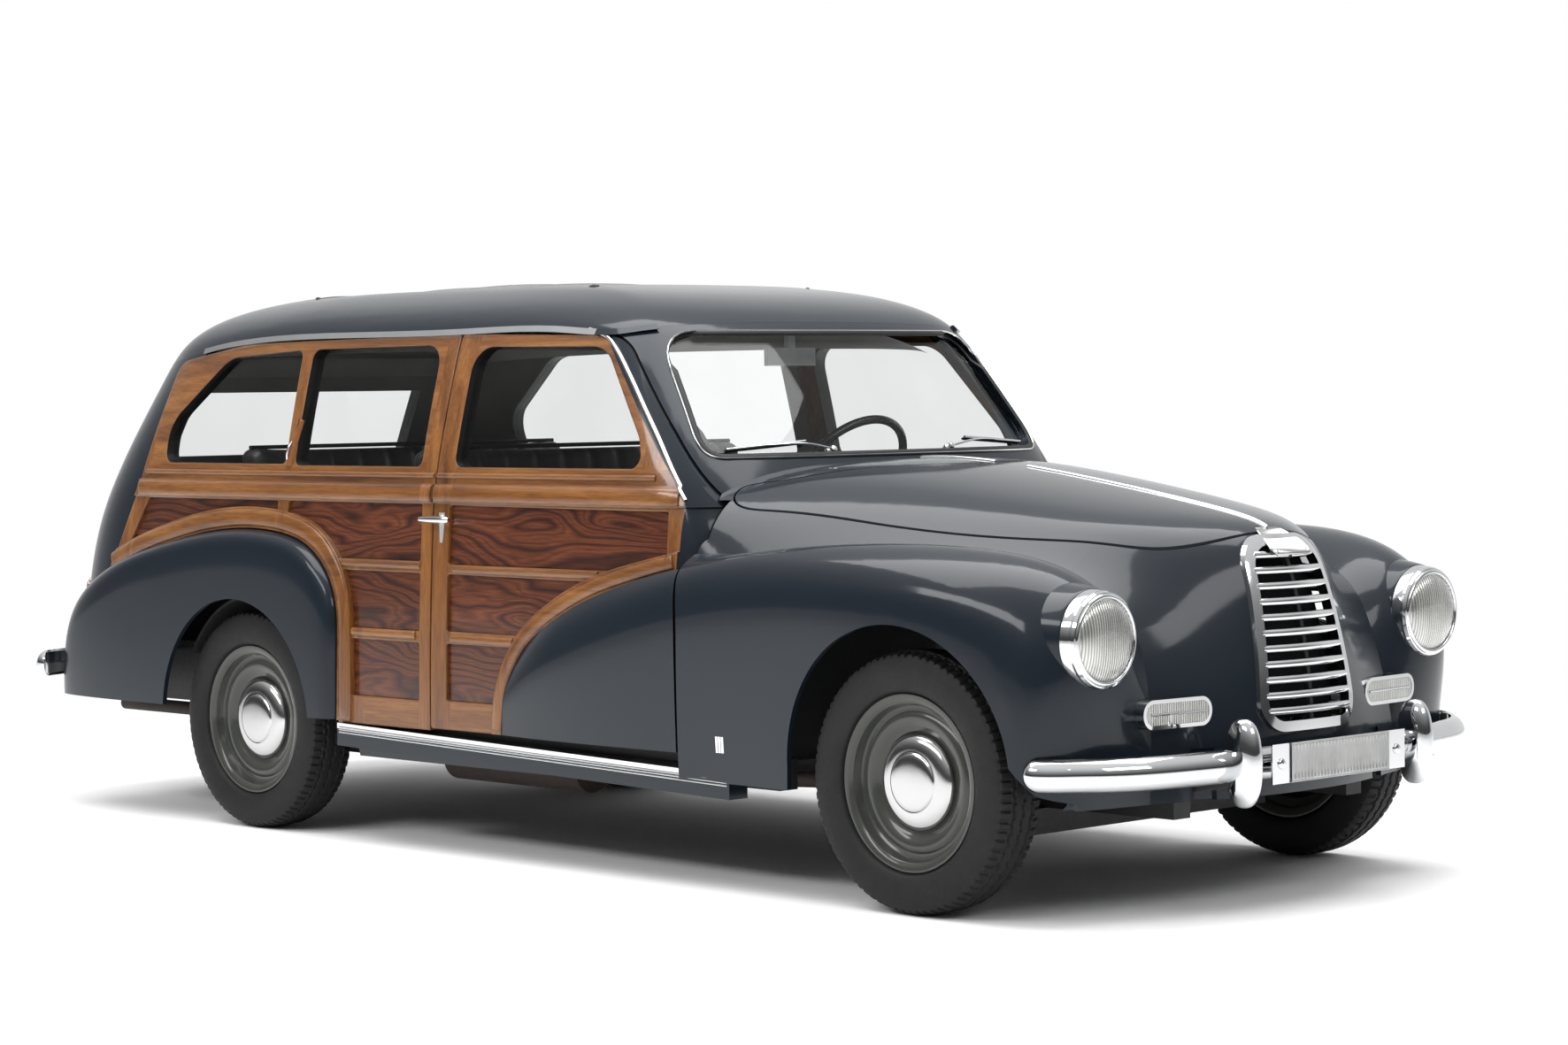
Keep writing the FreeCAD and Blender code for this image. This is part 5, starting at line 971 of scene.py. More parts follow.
LAMP_SIDE, LAMP_UP = 0.624, 0.655
BEZEL = [(0.0935, -0.004), (0.0950, 0.0015), (0.0985, 0.0035), (0.1040, 0.001), (0.1095, -0.009),
         (0.1135, -0.023), (0.1155, -0.038), (0.1150, -0.041)]
POD = [(0.1120, -0.040), (0.1170, -0.042), (0.1215, -0.060), (0.1265, -0.090), (0.1310, -0.125),
       (0.1340, -0.160)]
DOME = [(0.0945, -0.003), (0.085, 0.004), (0.070, 0.010), (0.050, 0.0145), (0.025, 0.0170), (0.0003, 0.0178)]


def turned_ahead(name, profile, centre, material, turns=96, sharp=50):
    """A profile of (radius, forward) pairs turned about a fore-and-aft axis."""
    rows = [circle(centre + AHEAD * a, ACROSS, UP, r, turns) for r, a in rounded(profile, 32)]
    return grid_piece(name, rows, material, "body", sharp, ring_columns=True)


def make_headlamps():
    """Bulged bezels that run back into the wings, and domed fluted glasses."""
    rims = surface_of("lamp_rims")
    for side, label in SIDES:
        found, _ = laid_on(rims, [(0, side * LAMP_SIDE, LAMP_UP + 0.103)], BACK_WAY)
        centre = Vector((found[0].x, side * LAMP_SIDE, LAMP_UP))
        turned_ahead("headlamp_bezel_" + label, BEZEL, centre, CHROME)
        turned_ahead("headlamp_pod_" + label, POD, centre, BODY)
        turned_ahead("headlamp_glass_" + label, DOME, centre, LENS)


# Bumpers: (forward share, side share) along the blade from its middle, as in the part
BLADE_SHARES = [(-0.70, -0.985), (-0.15, -0.91), (0.62, -0.67), (1.0, 0.0), (0.62, 0.67), (-0.15, 0.91),
                (-0.70, 0.985)]
BLADE_HALF = 0.800
BLADE_TALL, BLADE_DEEP = 0.039, 0.034
END_ROUND = 0.040
GUARD_HALVES = 0.048, 0.029, 0.1025
GUARD_SIDE, GUARD_RISE = 0.330, 0.008


def make_blade(name, path, sign, node):
    """A half-round blade whose ends close in a round nose."""
    lengths = [0.0]
    for before, after in zip(path, path[1:]):
        lengths.append(lengths[-1] + (after - before).length)
    rows = []
    for index, (place, length) in enumerate(zip(path, lengths)):
        before, after = path[max(index - 1, 0)], path[min(index + 1, len(path) - 1)]
        way = (after - before).normalized()
        out = way.cross(UP) * sign
        to_end = min(length, lengths[-1] - length)
        share = max(math.sqrt(1 - (1 - min(to_end / END_ROUND, 1)) ** 2), 0.04)
        tall, deep = UP * (BLADE_TALL * share), out * (BLADE_DEEP * share)
        turns = [math.pi * k / 20 for k in range(21)]
        arc = [place + tall * math.cos(turn) + deep * math.sin(turn) for turn in turns]
        arc += [place - tall * (0.82 * math.cos(math.pi * k / 8)) + deep * 0.25 for k in range(9)]
        rows.append(arc)
    piece = grid_piece(name, rows, CHROME, "body", 50, ring_columns=True, ends=True)
    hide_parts(node)


def make_guard(name, centre, sign):
    """A bullet-shaped overrider."""
    rows = []
    half_x, half_y, half_z = GUARD_HALVES
    for i in range(33):
        lean = math.pi * (i / 32 - 0.5)
        level = math.copysign(abs(math.sin(lean)) ** 0.9, lean)
        ring = max(math.cos(lean), 0.02) ** 0.75
        row = []
        for k in range(40):
            turn = 2 * math.pi * k / 40
            x = math.copysign(abs(math.cos(turn)) ** 0.85, math.cos(turn)) * half_x * ring
            y = math.copysign(abs(math.sin(turn)) ** 0.85, math.sin(turn)) * half_y * ring
            row.append(centre + Vector((sign * x, y, half_z * level)))
        rows.append(row)
    grid_piece(name, rows, CHROME, "body", 60, ring_columns=True, ends=True)


# An arm's section: to the side and up from its foot
ARM_SECTION = ((-0.022, 0.004), (-0.018, 0), (0.018, 0), (0.022, 0.004), (0.022, 0.052), (0.018, 0.056),
               (-0.018, 0.056), (-0.022, 0.052))
ARM_SIDE = 0.33
BLADE_SETBACK = 0.062
BOLT_PROFILE = [(0.0125, 0.000), (0.012, 0.003), (0.009, 0.005), (0.0003, 0.0062)]
BOLT_SIDE, BOLT_UP = 0.222, 0.355


def make_arm(name, side, inner, outer, foot, climb):
    """A bar from the frame out to the blade."""
    rows = []
    for share in (0.0, 0.3, 0.7, 1.0):
        x, z = inner + (outer - inner) * share, foot + climb * share
        rows.append([Vector((x, side * ARM_SIDE + across, z + rise)) for across, rise in ARM_SECTION])
    grid_piece(name, rows, UNDER, "body", ring_columns=True, ends=True)


def make_bumpers():
    for name, sign, wrap, level in (("front_bumper", 1, 0.150, 0.355), ("rear_bumper", -1, 0.065, 0.425)):
        low, high = (Vector(corner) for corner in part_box(name))
        nose, inner = (high.x, low.x) if sign > 0 else (-low.x, high.x)
        reach = nose - BLADE_SETBACK
        points = [Vector((sign * (reach + (a - 1) * wrap), b * BLADE_HALF, level)) for a, b in BLADE_SHARES]
        make_blade(name + "_blade", smooth_path(points, 120), sign, name)
        foot, climb = (low.z + 0.040, 0.05) if sign > 0 else (level - 0.03, 0.0)
        for side, label in SIDES:
            centre = Vector((sign * (reach + 0.014), side * GUARD_SIDE, level + GUARD_RISE))
            make_guard("%s_guard_%s" % (name, label), centre, sign)
            make_arm("%s_arm_%s" % (name, label), side, inner, sign * (reach + 0.010), foot, climb)
    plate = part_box("number_plate")
    for side, label in SIDES:
        centre = Vector((plate[1][0], side * BOLT_SIDE, BOLT_UP))
        turned_ahead("plate_bolt_" + label, BOLT_PROFILE, centre, CHROME, 24)


# Inside of the rear wings
LINER_SIDE, LINER_LOW, LINER_TOP = 0.560, 0.322, 0.800
LINER_REAR, LINER_LENGTH = -0.935, 1.340


def make_arch_liners():
    """Black pressed panels that close the rear wheel arches towards the middle."""
    for side, label in SIDES:
        rows = []
        for i in range(41):
            x = LINER_REAR + LINER_LENGTH * i / 40
            top = LINER_TOP - 0.28 * abs((x - 0.02) / 0.95) ** 2.2
            bulge = 0.020 * math.cos(min(abs(x) / 0.33, 1) * math.pi / 2)
            row = []
            for j in range(13):
                y = side * (LINER_SIDE + bulge + 0.004 * math.sin(math.pi * j / 6))
                row.append(at(x, y, LINER_LOW + (top - LINER_LOW) * j / 12))
            rows.append(row)
        grid_piece("arch_liner_" + label, rows, UNDER, "body")


# Inside of the roof
LINING_AXIS = 1.12
LINING_INSET = 0.009
LINING_REAR, LINING_LENGTH = -1.60, 1.99
LINING_LOW_ANGLE, LINING_REACH = math.radians(21), 0.72


def make_headlining():
    """Cloth on bows along the inside of the roof, from one row of windows to the other."""
    shell = surface_of("roof", "roof_cover", "quarter_left", "quarter_right", "door_left", "door_right")
    steps, spans = 40, 56
    rows = []
    for i in range(spans + 1):
        x = LINING_REAR + LINING_LENGTH * i / spans
        reaches = []
        for j in range(steps + 1):
            angle = LINING_LOW_ANGLE + (math.pi - 2 * LINING_LOW_ANGLE) * j / steps
            way = Vector((0, math.cos(angle), math.sin(angle)))
            hit, _, _, far = shell.ray_cast(Vector((x, 0, LINING_AXIS)), way)
            reaches.append((way, far if hit and far < LINING_REACH else None))
        known = [far for _, far in reaches if far]
        if len(known) < steps / 2:
            continue
        row = []
        for j, (way, far) in enumerate(reaches):
            near = [r for _, r in reaches[max(0, j - 3):j + 4] if r]
            far = min([far] + near) if far else (min(near) if near else min(known))
            row.append(Vector((x, 0, LINING_AXIS)) + way * (far - LINING_INSET))
        rows.append(row)
    grid_piece("headlining", rows, LINING, "body", 60)


# The strip of lining above the tailgate: up and forward from the gate's top
HEADER_SECTION = (-0.016, 0.016), (0.004, 0.014), (0.022, 0.020), (0.040, 0.034)


def make_tail_header():
    low, high = (Vector(corner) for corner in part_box("tailgate_upper"))
    rows = []
    for k in range(41):
        y = 0.98 * (low.y + (high.y - low.y) * k / 40)
        rows.append([Vector((high.x + ahead, y, high.z + rise)) for rise, ahead in HEADER_SECTION])
    grid_piece("tail_header", rows, LINING, "body", 60)


# Windscreen
SCREEN_LOW, SCREEN_HIGH, SCREEN_HALF = 1.060, 1.378, 0.628
SCREEN_TAPER = 0.895
WIPER_SIDE, PIVOT_UP = 0.222, 1.066
WIPER_START, WIPER_STEP, WIPER_UP, WIPER_FALL = 0.30, 0.018, 1.090, 1.2 * MM


def rounded_outline(corners, steps=8):
    """Points round a closed outline with (a, b, radius) corners."""
    made = []
    for index, (a, b, radius) in enumerate(corners):
        here = Vector((a, b))
        next_a, next_b, next_radius = corners[(index + 1) % len(corners)]
        before, after = Vector(corners[index - 1][:2]), Vector((next_a, next_b))
        start = here + (before - here).normalized() * radius
        end = here + (after - here).normalized() * radius
        for k in range(steps + 1):
            t = k / steps
            made.append(start * (1 - t) ** 2 + here * 2 * t * (1 - t) + end * t * t)
        straight = after + (end - after).normalized() * next_radius - end
        for k in range(1, 14):
            made.append(end + straight * k / 14)
    return made


# Trim round the screen: name, growth across and up, width, rise and material
SCREEN_RINGS = (("screen_seal", 1.0, 1.0, 0.020, 0.005, SEAL),
                ("screen_trim", 1.012, 1.024, 0.006, 0.006, CHROME))
PIVOT_PROFILE = (0.014, -0.006), (0.014, 0.006), (0.009, 0.011), (0.008, 0.020), (0.0005, 0.022)


def make_screen_rings():
    shell = surface_of("scuttle", "windscreen", "roof")
    tall = SCREEN_HIGH - SCREEN_LOW
    top_half = SCREEN_TAPER * SCREEN_HALF
    corners = [(SCREEN_HALF, SCREEN_LOW, 0.20 * tall), (-SCREEN_HALF, SCREEN_LOW, 0.20 * tall),
               (-top_half, SCREEN_HIGH, 0.32 * tall), (top_half, SCREEN_HIGH, 0.32 * tall)]
    middle_up = (SCREEN_LOW + SCREEN_HIGH) / 2
    for name, wider, taller, width, rise, material in SCREEN_RINGS:
        path = [(0, p.x * wider, (p.y - middle_up) * taller + middle_up) for p in rounded_outline(corners)]
        places, normals = laid_on(shell, path, BACK_WAY)
        strip(name, places, normals, width, rise, material, "body", closed=True)


def make_wipers():
    glass = surface_of("windscreen", "scuttle")
    for side, label in SIDES:
        found, normal = laid_on(glass, [(0, side * WIPER_SIDE, PIVOT_UP)], BACK_WAY)
        pivot, out = found[0], normal[0]
        across = out.orthogonal().normalized()
        rows = [circle(pivot + out * h, across, out.cross(across), r, 16) for r, h in PIVOT_PROFILE]
        grid_piece("wiper_pivot_" + label, rows, CHROME, "body", ring_columns=True, ends=True)
        path = [(0, side * (WIPER_START + WIPER_STEP * k), WIPER_UP - WIPER_FALL * k) for k in range(15)]
        blade, lift = laid_on(glass, path, BACK_WAY)
        strip("wiper_rubber_" + label, blade, lift, 0.005, 0.008, SEAL, "body")
        tube("wiper_blade_" + label, [p + n * 0.011 for p, n in zip(blade, lift)], 0.0035, CHROME, "body")
        bend = (pivot + blade[7]) / 2 + out * 0.030
        arm = smooth_path([pivot + out * 0.016, bend, blade[7] + lift[7] * 0.012], 12)
        tube("wiper_arm_" + label, arm, 0.003, CHROME, "body")


# Sides
PILLAR_LINE = [(1.330, 1.380), (1.400, 1.362), (1.455, 1.322), (1.520, 1.256), (1.590, 1.178), (1.660, 1.098),
               (1.735, 1.000), (1.776, 0.945)]
STRIP_LINE = (0.470, 0.322), (2.012, 0.281)


def make_side_trim():
    for side, label in SIDES:
        way = (0, -side, 0)
        door = "door_" + label
        shell = surface_of("scuttle", door, "roof")
        path = [at(p.x, 0, p.z) for p in smooth_path([(x, 0, z) for x, z in PILLAR_LINE], 40)]
        places, normals = laid_on(shell, [p + Vector((0.012, 0, 0.010)) for p in path], way)
        strip("pillar_strip_" + label, places, normals, 0.013, 0.007, CHROME, door)
        sill = surface_of("side_trims")
        start, end = (Vector((at(x, 0, z).x, z)) for x, z in STRIP_LINE)
        for index, drop in enumerate((0.003, 0.010, 0.017)):
            path = []
            for k in range(31):
                spot = start.lerp(end, k / 30)
                path.append((spot.x, 0, spot.y - drop))
            places, normals = laid_on(sill, path, way)
            if len(places) > 4:
                strip("sill_rib_%d_%s" % (index, label), places, normals, 0.0052, 0.003, CHROME, "body")


HANDLE_ALONG, HANDLE_UP = 0.881, 0.892
BOSS_PROFILE = (0.012, 0), (0.011, 0.010), (0.008, 0.016), (0.008, 0.034), (0.0085, 0.040)
LEVER_LINE = (-0.050, 0.036), (0, 0.040), (0.050, 0.042), (0.070, 0.034)


def make_door_handles():
    """A plate, a boss and a lever that swells in the middle, on each door."""
    for side, label in SIDES:
        door = "door_" + label
        found, normal = laid_on(surface_of(door), [at(HANDLE_ALONG, 0, HANDLE_UP)], (0, -side, 0))
        base, out = found[0], normal[0]
        plate = [base + UP * (-0.060 + 0.080 * k / 14) for k in range(15)]
        strip("handle_plate_" + label, plate, [out] * len(plate), 0.022, 0.005, CHROME, door)
        rows = [circle(base + out * h, AHEAD, UP, r, 16) for r, h in BOSS_PROFILE]
        grid_piece("handle_boss_" + label, rows, CHROME, door, ring_columns=True, ends=True)
        bar = smooth_path([base + out * rise + AHEAD * along for along, rise in LEVER_LINE], 20)
        rows = []
        for k, place in enumerate(bar):
            share = min(0.06 + k / (len(bar) - 1) * 0.92, 0.97)
            tall = 0.0085 * (0.35 + 0.75 * math.sin(math.pi * share) ** 0.4)
            rows.append(circle(place, UP * tall, out * 0.0055, 1, 12))
        grid_piece("handle_lever_" + label, rows, CHROME, door, ring_columns=True, ends=True)


POST_LOW, POST_HIGH = (0.178, 1.032), (0.2475, 1.352)


def bowed(places, normals, bow, steps):
    """Places lifted off their surface, most halfway through the steps."""
    lifts = [0.010 + bow * math.sin(math.pi * k / steps) for k in range(len(places))]
    return [place + normal * lift for place, normal, lift in zip(places, normals, lifts)]


def make_window_posts():
    """The rounded post between the two side windows, with its finger pull."""
    for side, label in SIDES:
        shell = surface_of("quarter_" + label)
        foot, head = (at(x, 0, z) for x, z in (POST_LOW, POST_HIGH))
        path = [foot.lerp(head, k / 20) for k in range(21)]
        places, normals = laid_on(shell, path, (0, -side, 0))
        strip("window_post_" + label, places, normals, 0.030, 0.010, OAK_UP, "body")
        pull = bowed(places[7:18], normals[7:18], 0.012, 10)
        tube("window_pull_" + label, smooth_path(pull, 20), 0.0045, OAK_UP, "body")
        catch = bowed(places[1:5], normals[1:5], 0.006, 3)
        tube("window_catch_" + label, smooth_path(catch, 10), 0.0035, CHROME, "body")


# Beads that round off the timber: name, node, from, to, height, width, rise
BEADS = (("belt", "quarter_", -0.592, 0.838, 0.963, 0.047, 0.006),
         ("belt", "door_", 0.852, 1.772, 0.963, 0.047, 0.006),
         ("sill", "quarter_", -0.575, 0.838, 1.010, 0.017, 0.007),
         ("sill", "door_", 0.852, 1.690, 1.010, 0.017, 0.007))


def make_beads():
    for side, label in SIDES:
        for name, node, start, end, level, width, rise in BEADS:
            shell = surface_of(node + label)
            path = [at(start + (end - start) * k / 60, 0, level) for k in range(61)]
            places, normals = laid_on(shell, path, (0, -side, 0))
            bead = "%s_bead_%s%s" % (name, node, label)
            strip(bead, places, normals, width, rise, OAK_SIDE, body_of(node, label))


# The arch moulding on the door, down its middle, in shares of the door; and the rim of the rear wing as
# angles about its axle and reaches, with the width of the moulding outside it
DOOR_CORNER, DOOR_SPREAD = (0.848, 0.336), (0.984, 1.052)
DOOR_ARCH_SHARES = ((0.942, 0.4435), (0.832, 0.420), (0.689, 0.3855), (0.582, 0.349), (0.478, 0.301),
                    (0.3925, 0.2475), (0.3465, 0.200), (0.3125, 0.147), (0.294, 0.0955), (0.2825, 0.012))
WING_RIM = ((-28, 0.455), (-10, 0.445), (8, 0.452), (22, 0.482), (34, 0.545), (44, 0.590), (56, 0.598),
            (68, 0.578), (88, 0.550), (108, 0.562), (124, 0.610), (138, 0.700), (149, 0.810), (160, 0.935))
ARCH_BAND = 0.062
DOOR_BEAD_WIDTH, WING_BEAD_WIDTH, ARCH_RISE = 0.038, 0.050, 0.005


def door_arch():
    (corner_x, corner_z), (wide, tall) = DOOR_CORNER, DOOR_SPREAD
    return [at(corner_x + wide * a, 0, corner_z + tall * b) for a, b in DOOR_ARCH_SHARES]


def wing_arch():
    """The middle of the moulding round the rear wing, smoothed as the rim is between its poles."""
    poles = []
    for angle, reach in WING_RIM:
        turn, out = math.radians(angle), reach + ARCH_BAND / 2
        poles.append(at(math.cos(turn) * out, 0, AXLE_UP + math.sin(turn) * out))
    return [(a + 4 * b + c) / 6 for a, b, c in zip(poles, poles[1:], poles[2:])]


def make_arch_beads():
    """Rounded fronts on the mouldings that follow the wings."""
    arches = ("door_", door_arch(), DOOR_BEAD_WIDTH), ("quarter_", wing_arch(), WING_BEAD_WIDTH)
    for side, label in SIDES:
        for node, line, width in arches:
            places, normals = laid_on(surface_of(node + label), smooth_path(line, 90), (0, -side, 0))
            bead = "arch_bead_%s%s" % (node, label)
            strip(bead, places, normals, width, ARCH_RISE, OAK_SIDE, body_of(node, label))


# Cross rails: node, place of the stile, step along the side, height of the middle
RAILS = (("quarter_", 0.797, -0.006, 0.7695), ("quarter_", 0.782, -0.006, 0.582),
         ("door_", 0.935, 0.006, 0.7635), ("door_", 0.930, 0.006, 0.579))
RAIL_JUMP = Vector((0.02, 0.004))


def joined_up(before, after):
    """Whether two places of a path lie on the same rail, with no jump between them."""
    return abs(after.x - before.x) < RAIL_JUMP.x and abs(after.y - before.y) < RAIL_JUMP.y


def make_rail_beads():
    """Rounded fronts on the cross rails, each from its stile to the arch moulding."""
    for side, label in SIDES:
        for index, (node, start, step, level) in enumerate(RAILS):
            shell = surface_of(node + label)
            path = [at(start + step * k, 0, level) for k in range(110)]
            places, normals = laid_on(shell, path, (0, -side, 0))
            kept = 1
            while kept < len(places) and joined_up(places[kept - 1], places[kept]):
                kept += 1
            if kept > 6:
                bead = "rail_bead_%d_%s" % (index, label)
                strip(bead, places[:kept], normals[:kept], 0.0235, 0.006, OAK_SIDE, body_of(node, label))


PANEL_SIDE, PANEL_LOW, PANEL_TOP = 0.722, 0.235, 0.331
PANEL_REAR, PANEL_LENGTH = 0.475, 1.535


def make_sill_panels():
    """Painted panels behind the step strips, under the doors."""
    for side, label in SIDES:
        rows = []
        for k in range(41):
            x = PANEL_REAR + PANEL_LENGTH * k / 40
            top = PANEL_TOP - 0.006 * (k / 40) ** 2
            row = []
            for j in range(7):
                y = side * (PANEL_SIDE + 0.006 * math.sin(math.pi * j / 6))
                row.append(at(x, y, PANEL_LOW + (top - PANEL_LOW) * j / 6))
            rows.append(row)
        grid_piece("sill_panel_" + label, rows, BODY, "body")


WING_BADGE_ALONG, WING_BADGE_UP = 1.985, 0.345


def make_wing_badges():
    """A small bare ribbed plate low on each front wing."""
    for side, label in SIDES:
        wing = surface_of("front_wing_" + label)
        for index in range(3):
            along = WING_BADGE_ALONG + 0.010 * index
            path = [at(along, 0, WING_BADGE_UP + 0.004 * k) for k in range(11)]
            places, normals = laid_on(wing, path, (0, -side, 0))
            if len(places) > 4:
                strip("wing_badge_%d_%s" % (index, label), places, normals, 0.0085, 0.003, CHROME, "body")


# Rear
GATE_HANDLE_UP, HINGE_SIDE, TAIL_LAMP_R = 0.945, 0.30, 0.0365
GATE_HANDLE_BOW = (-0.05, 0.004), (-0.042, 0.030), (0.042, 0.030), (0.05, 0.004)
HINGE_LEVELS = ("upper", 1.255), ("lower", 0.575)


def make_rear_fittings():
    gate = surface_of("tailgate_lower", "tailgate_upper")
    forward = (1, 0, 0)
    found, normal = laid_on(gate, [(0, 0, GATE_HANDLE_UP)], forward)
    if found:
        base, out = found[0], normal[0]
        bow = smooth_path([base + ACROSS * along + out * rise for along, rise in GATE_HANDLE_BOW], 20)
        tube("gate_handle", bow, 0.006, CHROME, "tailgate_lower")
    for side, label in SIDES:
        for name, z in HINGE_LEVELS:
            path = [(0, side * HINGE_SIDE, z + 0.008 * (k - 5)) for k in range(11)]
            places, normals = laid_on(gate, path, forward)
            if len(places) > 4:
                hinge = "gate_hinge_%s_%s" % (name, label)
                strip(hinge, places, normals, 0.030, 0.004, CHROME, "tailgate_" + name)
    low, high = (Vector(corner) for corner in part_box("tail_lamps"))
    for side, label in SIDES:
        centre = Vector((low.x + 0.020, side * (high.y - 0.036), (low.z + high.z) / 2))
        ring = circle(centre, ACROSS, UP, TAIL_LAMP_R, 48)
        tube("tail_lamp_ring_" + label, ring, 0.003, CHROME, "body", closed=True)


# Roof
PIPING_INSET, PIPING_ROUND = 4 * MM, 0.05
BOWS, BOW_MARGIN = 5, 0.03


def make_roof_trim():
    """Piping round the folding cloth, and the bows that show through it."""
    low, high = (Vector(corner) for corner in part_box("roof_cover"))
    top = surface_of("roof", "roof_cover")
    front, rear = high.x - PIPING_INSET, low.x + PIPING_INSET
    left, right = high.y - PIPING_INSET, low.y + PIPING_INSET
    corners = (front, left), (front, right), (rear, right), (rear, left)
    ring = rounded_outline([(x, y, PIPING_ROUND) for x, y in corners])
    places, normals = laid_on(top, [(p.x, p.y, 0) for p in ring], (0, 0, -1))
    strip("roof_piping", places, normals, 0.014, 0.005, SEAL, "body", closed=True)
    cover = surface_of("roof_cover")
    wide = high.y - low.y - 2 * BOW_MARGIN
    for index in range(1, BOWS + 1):
        x = low.x + (high.x - low.x) * index / (BOWS + 1)
        path = [(x, low.y + BOW_MARGIN + wide * k / 40, 0) for k in range(41)]
        places, normals = laid_on(cover, path, (0, 0, -1))
        strip("roof_bow_%d" % index, places, normals, 0.030, 0.0022, CLOTH, "body")


# Seats
SEAM_DEPTH = 0.010
CUSHION_ROUND, CUSHION_VOXEL, SWELL_CAP = 0.030, 0.013, 0.012
CHANNELS = 6
SEAT_DEEP, SEAT_WALL, BACK_DEEP = 0.480, 0.130, 0.110
SEAT_TOPS = {"front_bench": 0.670, "rear_bench": 0.800}


def bench_block(name, low, high, round_by):
    """A box with rounded edges as the start of a cushion."""
    work = bmesh.new()
    bmesh.ops.create_cube(work, size=1)
    centre, spread = (low + high) / 2, high - low
    for vert in work.verts:
        vert.co = Vector([centre[i] + vert.co[i] * spread[i] for i in range(3)])
    bmesh.ops.bevel(work, geom=list(work.edges), offset=round_by, segments=4, profile=0.6, affect="EDGES")
    mesh = bpy.data.meshes.new(name)
    work.to_mesh(mesh)
    work.free()
    return mesh


def swollen(piece, cap):
    """Lets cloth swell the cushion a little, no point moving further than the cap."""
    start = [vert.co.copy() for vert in piece.data.vertices]
    cloth = piece.modifiers.new("swell", "CLOTH")
    cloth.settings.use_pressure = True
    cloth.settings.uniform_pressure_force = 4
    cloth.settings.effector_weights.gravity = 0
    cloth.settings.quality = 4
    cloth.point_cache.frame_start, cloth.point_cache.frame_end = 1, 20
    scene = bpy.context.scene
    for index in range(1, 21):
        scene.frame_set(index)
    shaped = bpy.data.meshes.new_from_object(piece.evaluated_get(bpy.context.evaluated_depsgraph_get()))
    piece.modifiers.remove(cloth)
    for vert, before, after in zip(piece.data.vertices, start, shaped.vertices):
        step = after.co - before
        if step.length > cap:
            step = step.normalized() * cap
        vert.co = before + step
    scene.frame_set(1)


def cushion(name, low, high, face_axis):
    """One padded piece: remeshed, swollen by cloth, then sewn into channels."""
    inset = Vector((SWELL_CAP, SWELL_CAP, SWELL_CAP)) * 0.8
    piece = bpy.data.objects.new(name, bench_block(name, low + inset, high - inset, CUSHION_ROUND))
    bpy.context.scene.collection.objects.link(piece)
    remesh = piece.modifiers.new("remesh", "REMESH")
    remesh.mode = "VOXEL"
    remesh.voxel_size = CUSHION_VOXEL
    piece.data = bpy.data.meshes.new_from_object(piece.evaluated_get(bpy.context.evaluated_depsgraph_get()))
    piece.modifiers.clear()
    swollen(piece, SWELL_CAP)
    wide = high.y - low.y
    for vert in piece.data.vertices:
        share = (vert.co.y - low.y) / wide
        valley = math.cos(2 * math.pi * share * CHANNELS) ** 2
        near_end = min(share, 1 - share) < 0.03
        if not near_end:
            vert.co[face_axis] -= SEAM_DEPTH * valley ** 12
    smooth = piece.modifiers.new("smooth", "SUBSURF")
    smooth.levels = smooth.render_levels = 1
    for face in piece.data.polygons:
        face.use_smooth = True
    piece.data.materials.append(LEATHER)
    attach(piece, "body")
    return piece


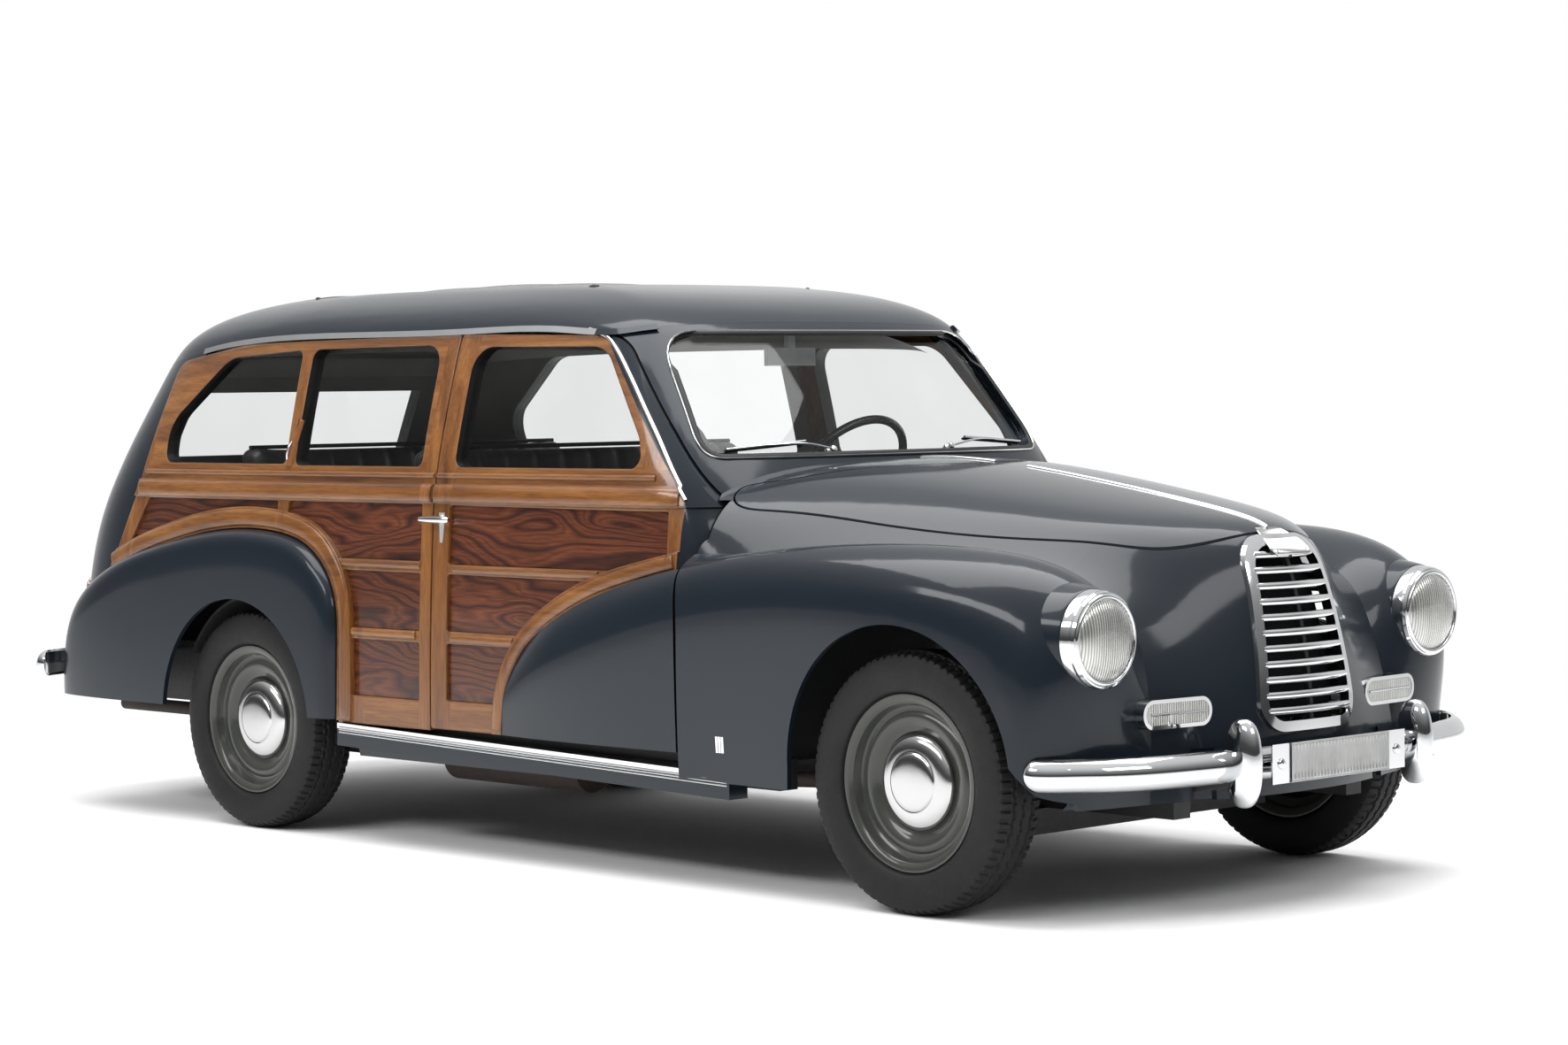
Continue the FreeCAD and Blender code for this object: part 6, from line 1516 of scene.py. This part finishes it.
def make_seats():
    for bench, seat_top in SEAT_TOPS.items():
        low, high = (Vector(corner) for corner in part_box(bench))
        seat_low = Vector((high.x - SEAT_DEEP, low.y, seat_top - SEAT_WALL))
        base = cushion(bench + "_cushion", seat_low, Vector((high.x, high.y, seat_top)), 2)
        back_low = Vector((low.x, low.y, seat_top - 0.06))
        cushion(bench + "_back", back_low, Vector((low.x + BACK_DEEP, high.y, high.z)), 0)
        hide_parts(bench)
        rows = []
        for z, inset in ((low.z + 0.001, 0.045), (low.z + 0.03, 0.030), (seat_low.z - 0.02, 0.030),
                         (seat_low.z + 0.006, 0.012)):
            rear, front = low.x + 0.02 + inset, high.x - inset
            right, left = low.y + inset, high.y - inset
            corners = (rear, right), (front, right), (front, left), (rear, left)
            rows.append([Vector((x, y, z)) for x, y in corners])
        grid_piece(bench + "_base", rows, UNDER, "body", ring_columns=True, ends=True)
        rail = [Vector((low.x + 0.055, y, high.z - 0.012)) for y in (low.y + 0.03, 0, high.y - 0.03)]
        tube(bench + "_piping", smooth_path(rail, 24), 0.006, SEAL, "body")


# Dashboard, with its dials as place across and radius
DIALS = (0.33, 0.055), (0.20, 0.036), (0.46, 0.036)


def make_fascia():
    low, high = (Vector(corner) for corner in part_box("dashboard"))
    section = [(high.x, high.z), (low.x + 0.055, high.z), (low.x + 0.018, high.z - 0.012),
               (low.x, high.z - 0.045), (low.x + 0.004, low.z + 0.030), (low.x + 0.020, low.z),
               (high.x, low.z)]
    stations = [low.y + (high.y - low.y) * k / 30 for k in range(31)]
    rows = [[Vector((x, y, z)) for x, z in section] for y in stations]
    fascia = grid_piece("fascia", rows, FASCIA, "body", 25, ring_columns=True, ends=True)
    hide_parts("dashboard")
    for index, (y, r) in enumerate(DIALS):
        centre = Vector((low.x + 0.001, y, (low.z + high.z) / 2 + 0.005))
        ring = [(r, 0.000), (r, 0.006), (r * 0.92, 0.008), (r * 0.88, 0.003)]
        face = [(r * 0.88, 0.002), (r * 0.4, 0.0025), (0.0004, 0.003)]
        for name, profile, material in (("ring", ring, CHROME), ("face", face, DIAL)):
            rows = [circle(centre - AHEAD * h, ACROSS, UP, reach, 40) for reach, h in profile]
            grid_piece("dial_%s_%d" % (name, index), rows, material, "body", ring_columns=True)


make_camera()
finish_nodes()
make_floor()
make_backdrop()
make_lights()
make_wheels()
make_radiator()
make_bonnet_trim()
make_nose_badge()
make_valance()
make_number_plate()
make_parking_lamps()
make_headlamps()
make_bumpers()
make_arch_liners()
make_headlining()
make_tail_header()
make_beads()
make_arch_beads()
make_rail_beads()
make_sill_panels()
make_screen_rings()
make_wipers()
make_side_trim()
make_door_handles()
make_window_posts()
make_wing_badges()
make_rear_fittings()
make_roof_trim()
make_seats()
make_fascia()

bpy.context.scene.view_settings.view_transform = "Standard"
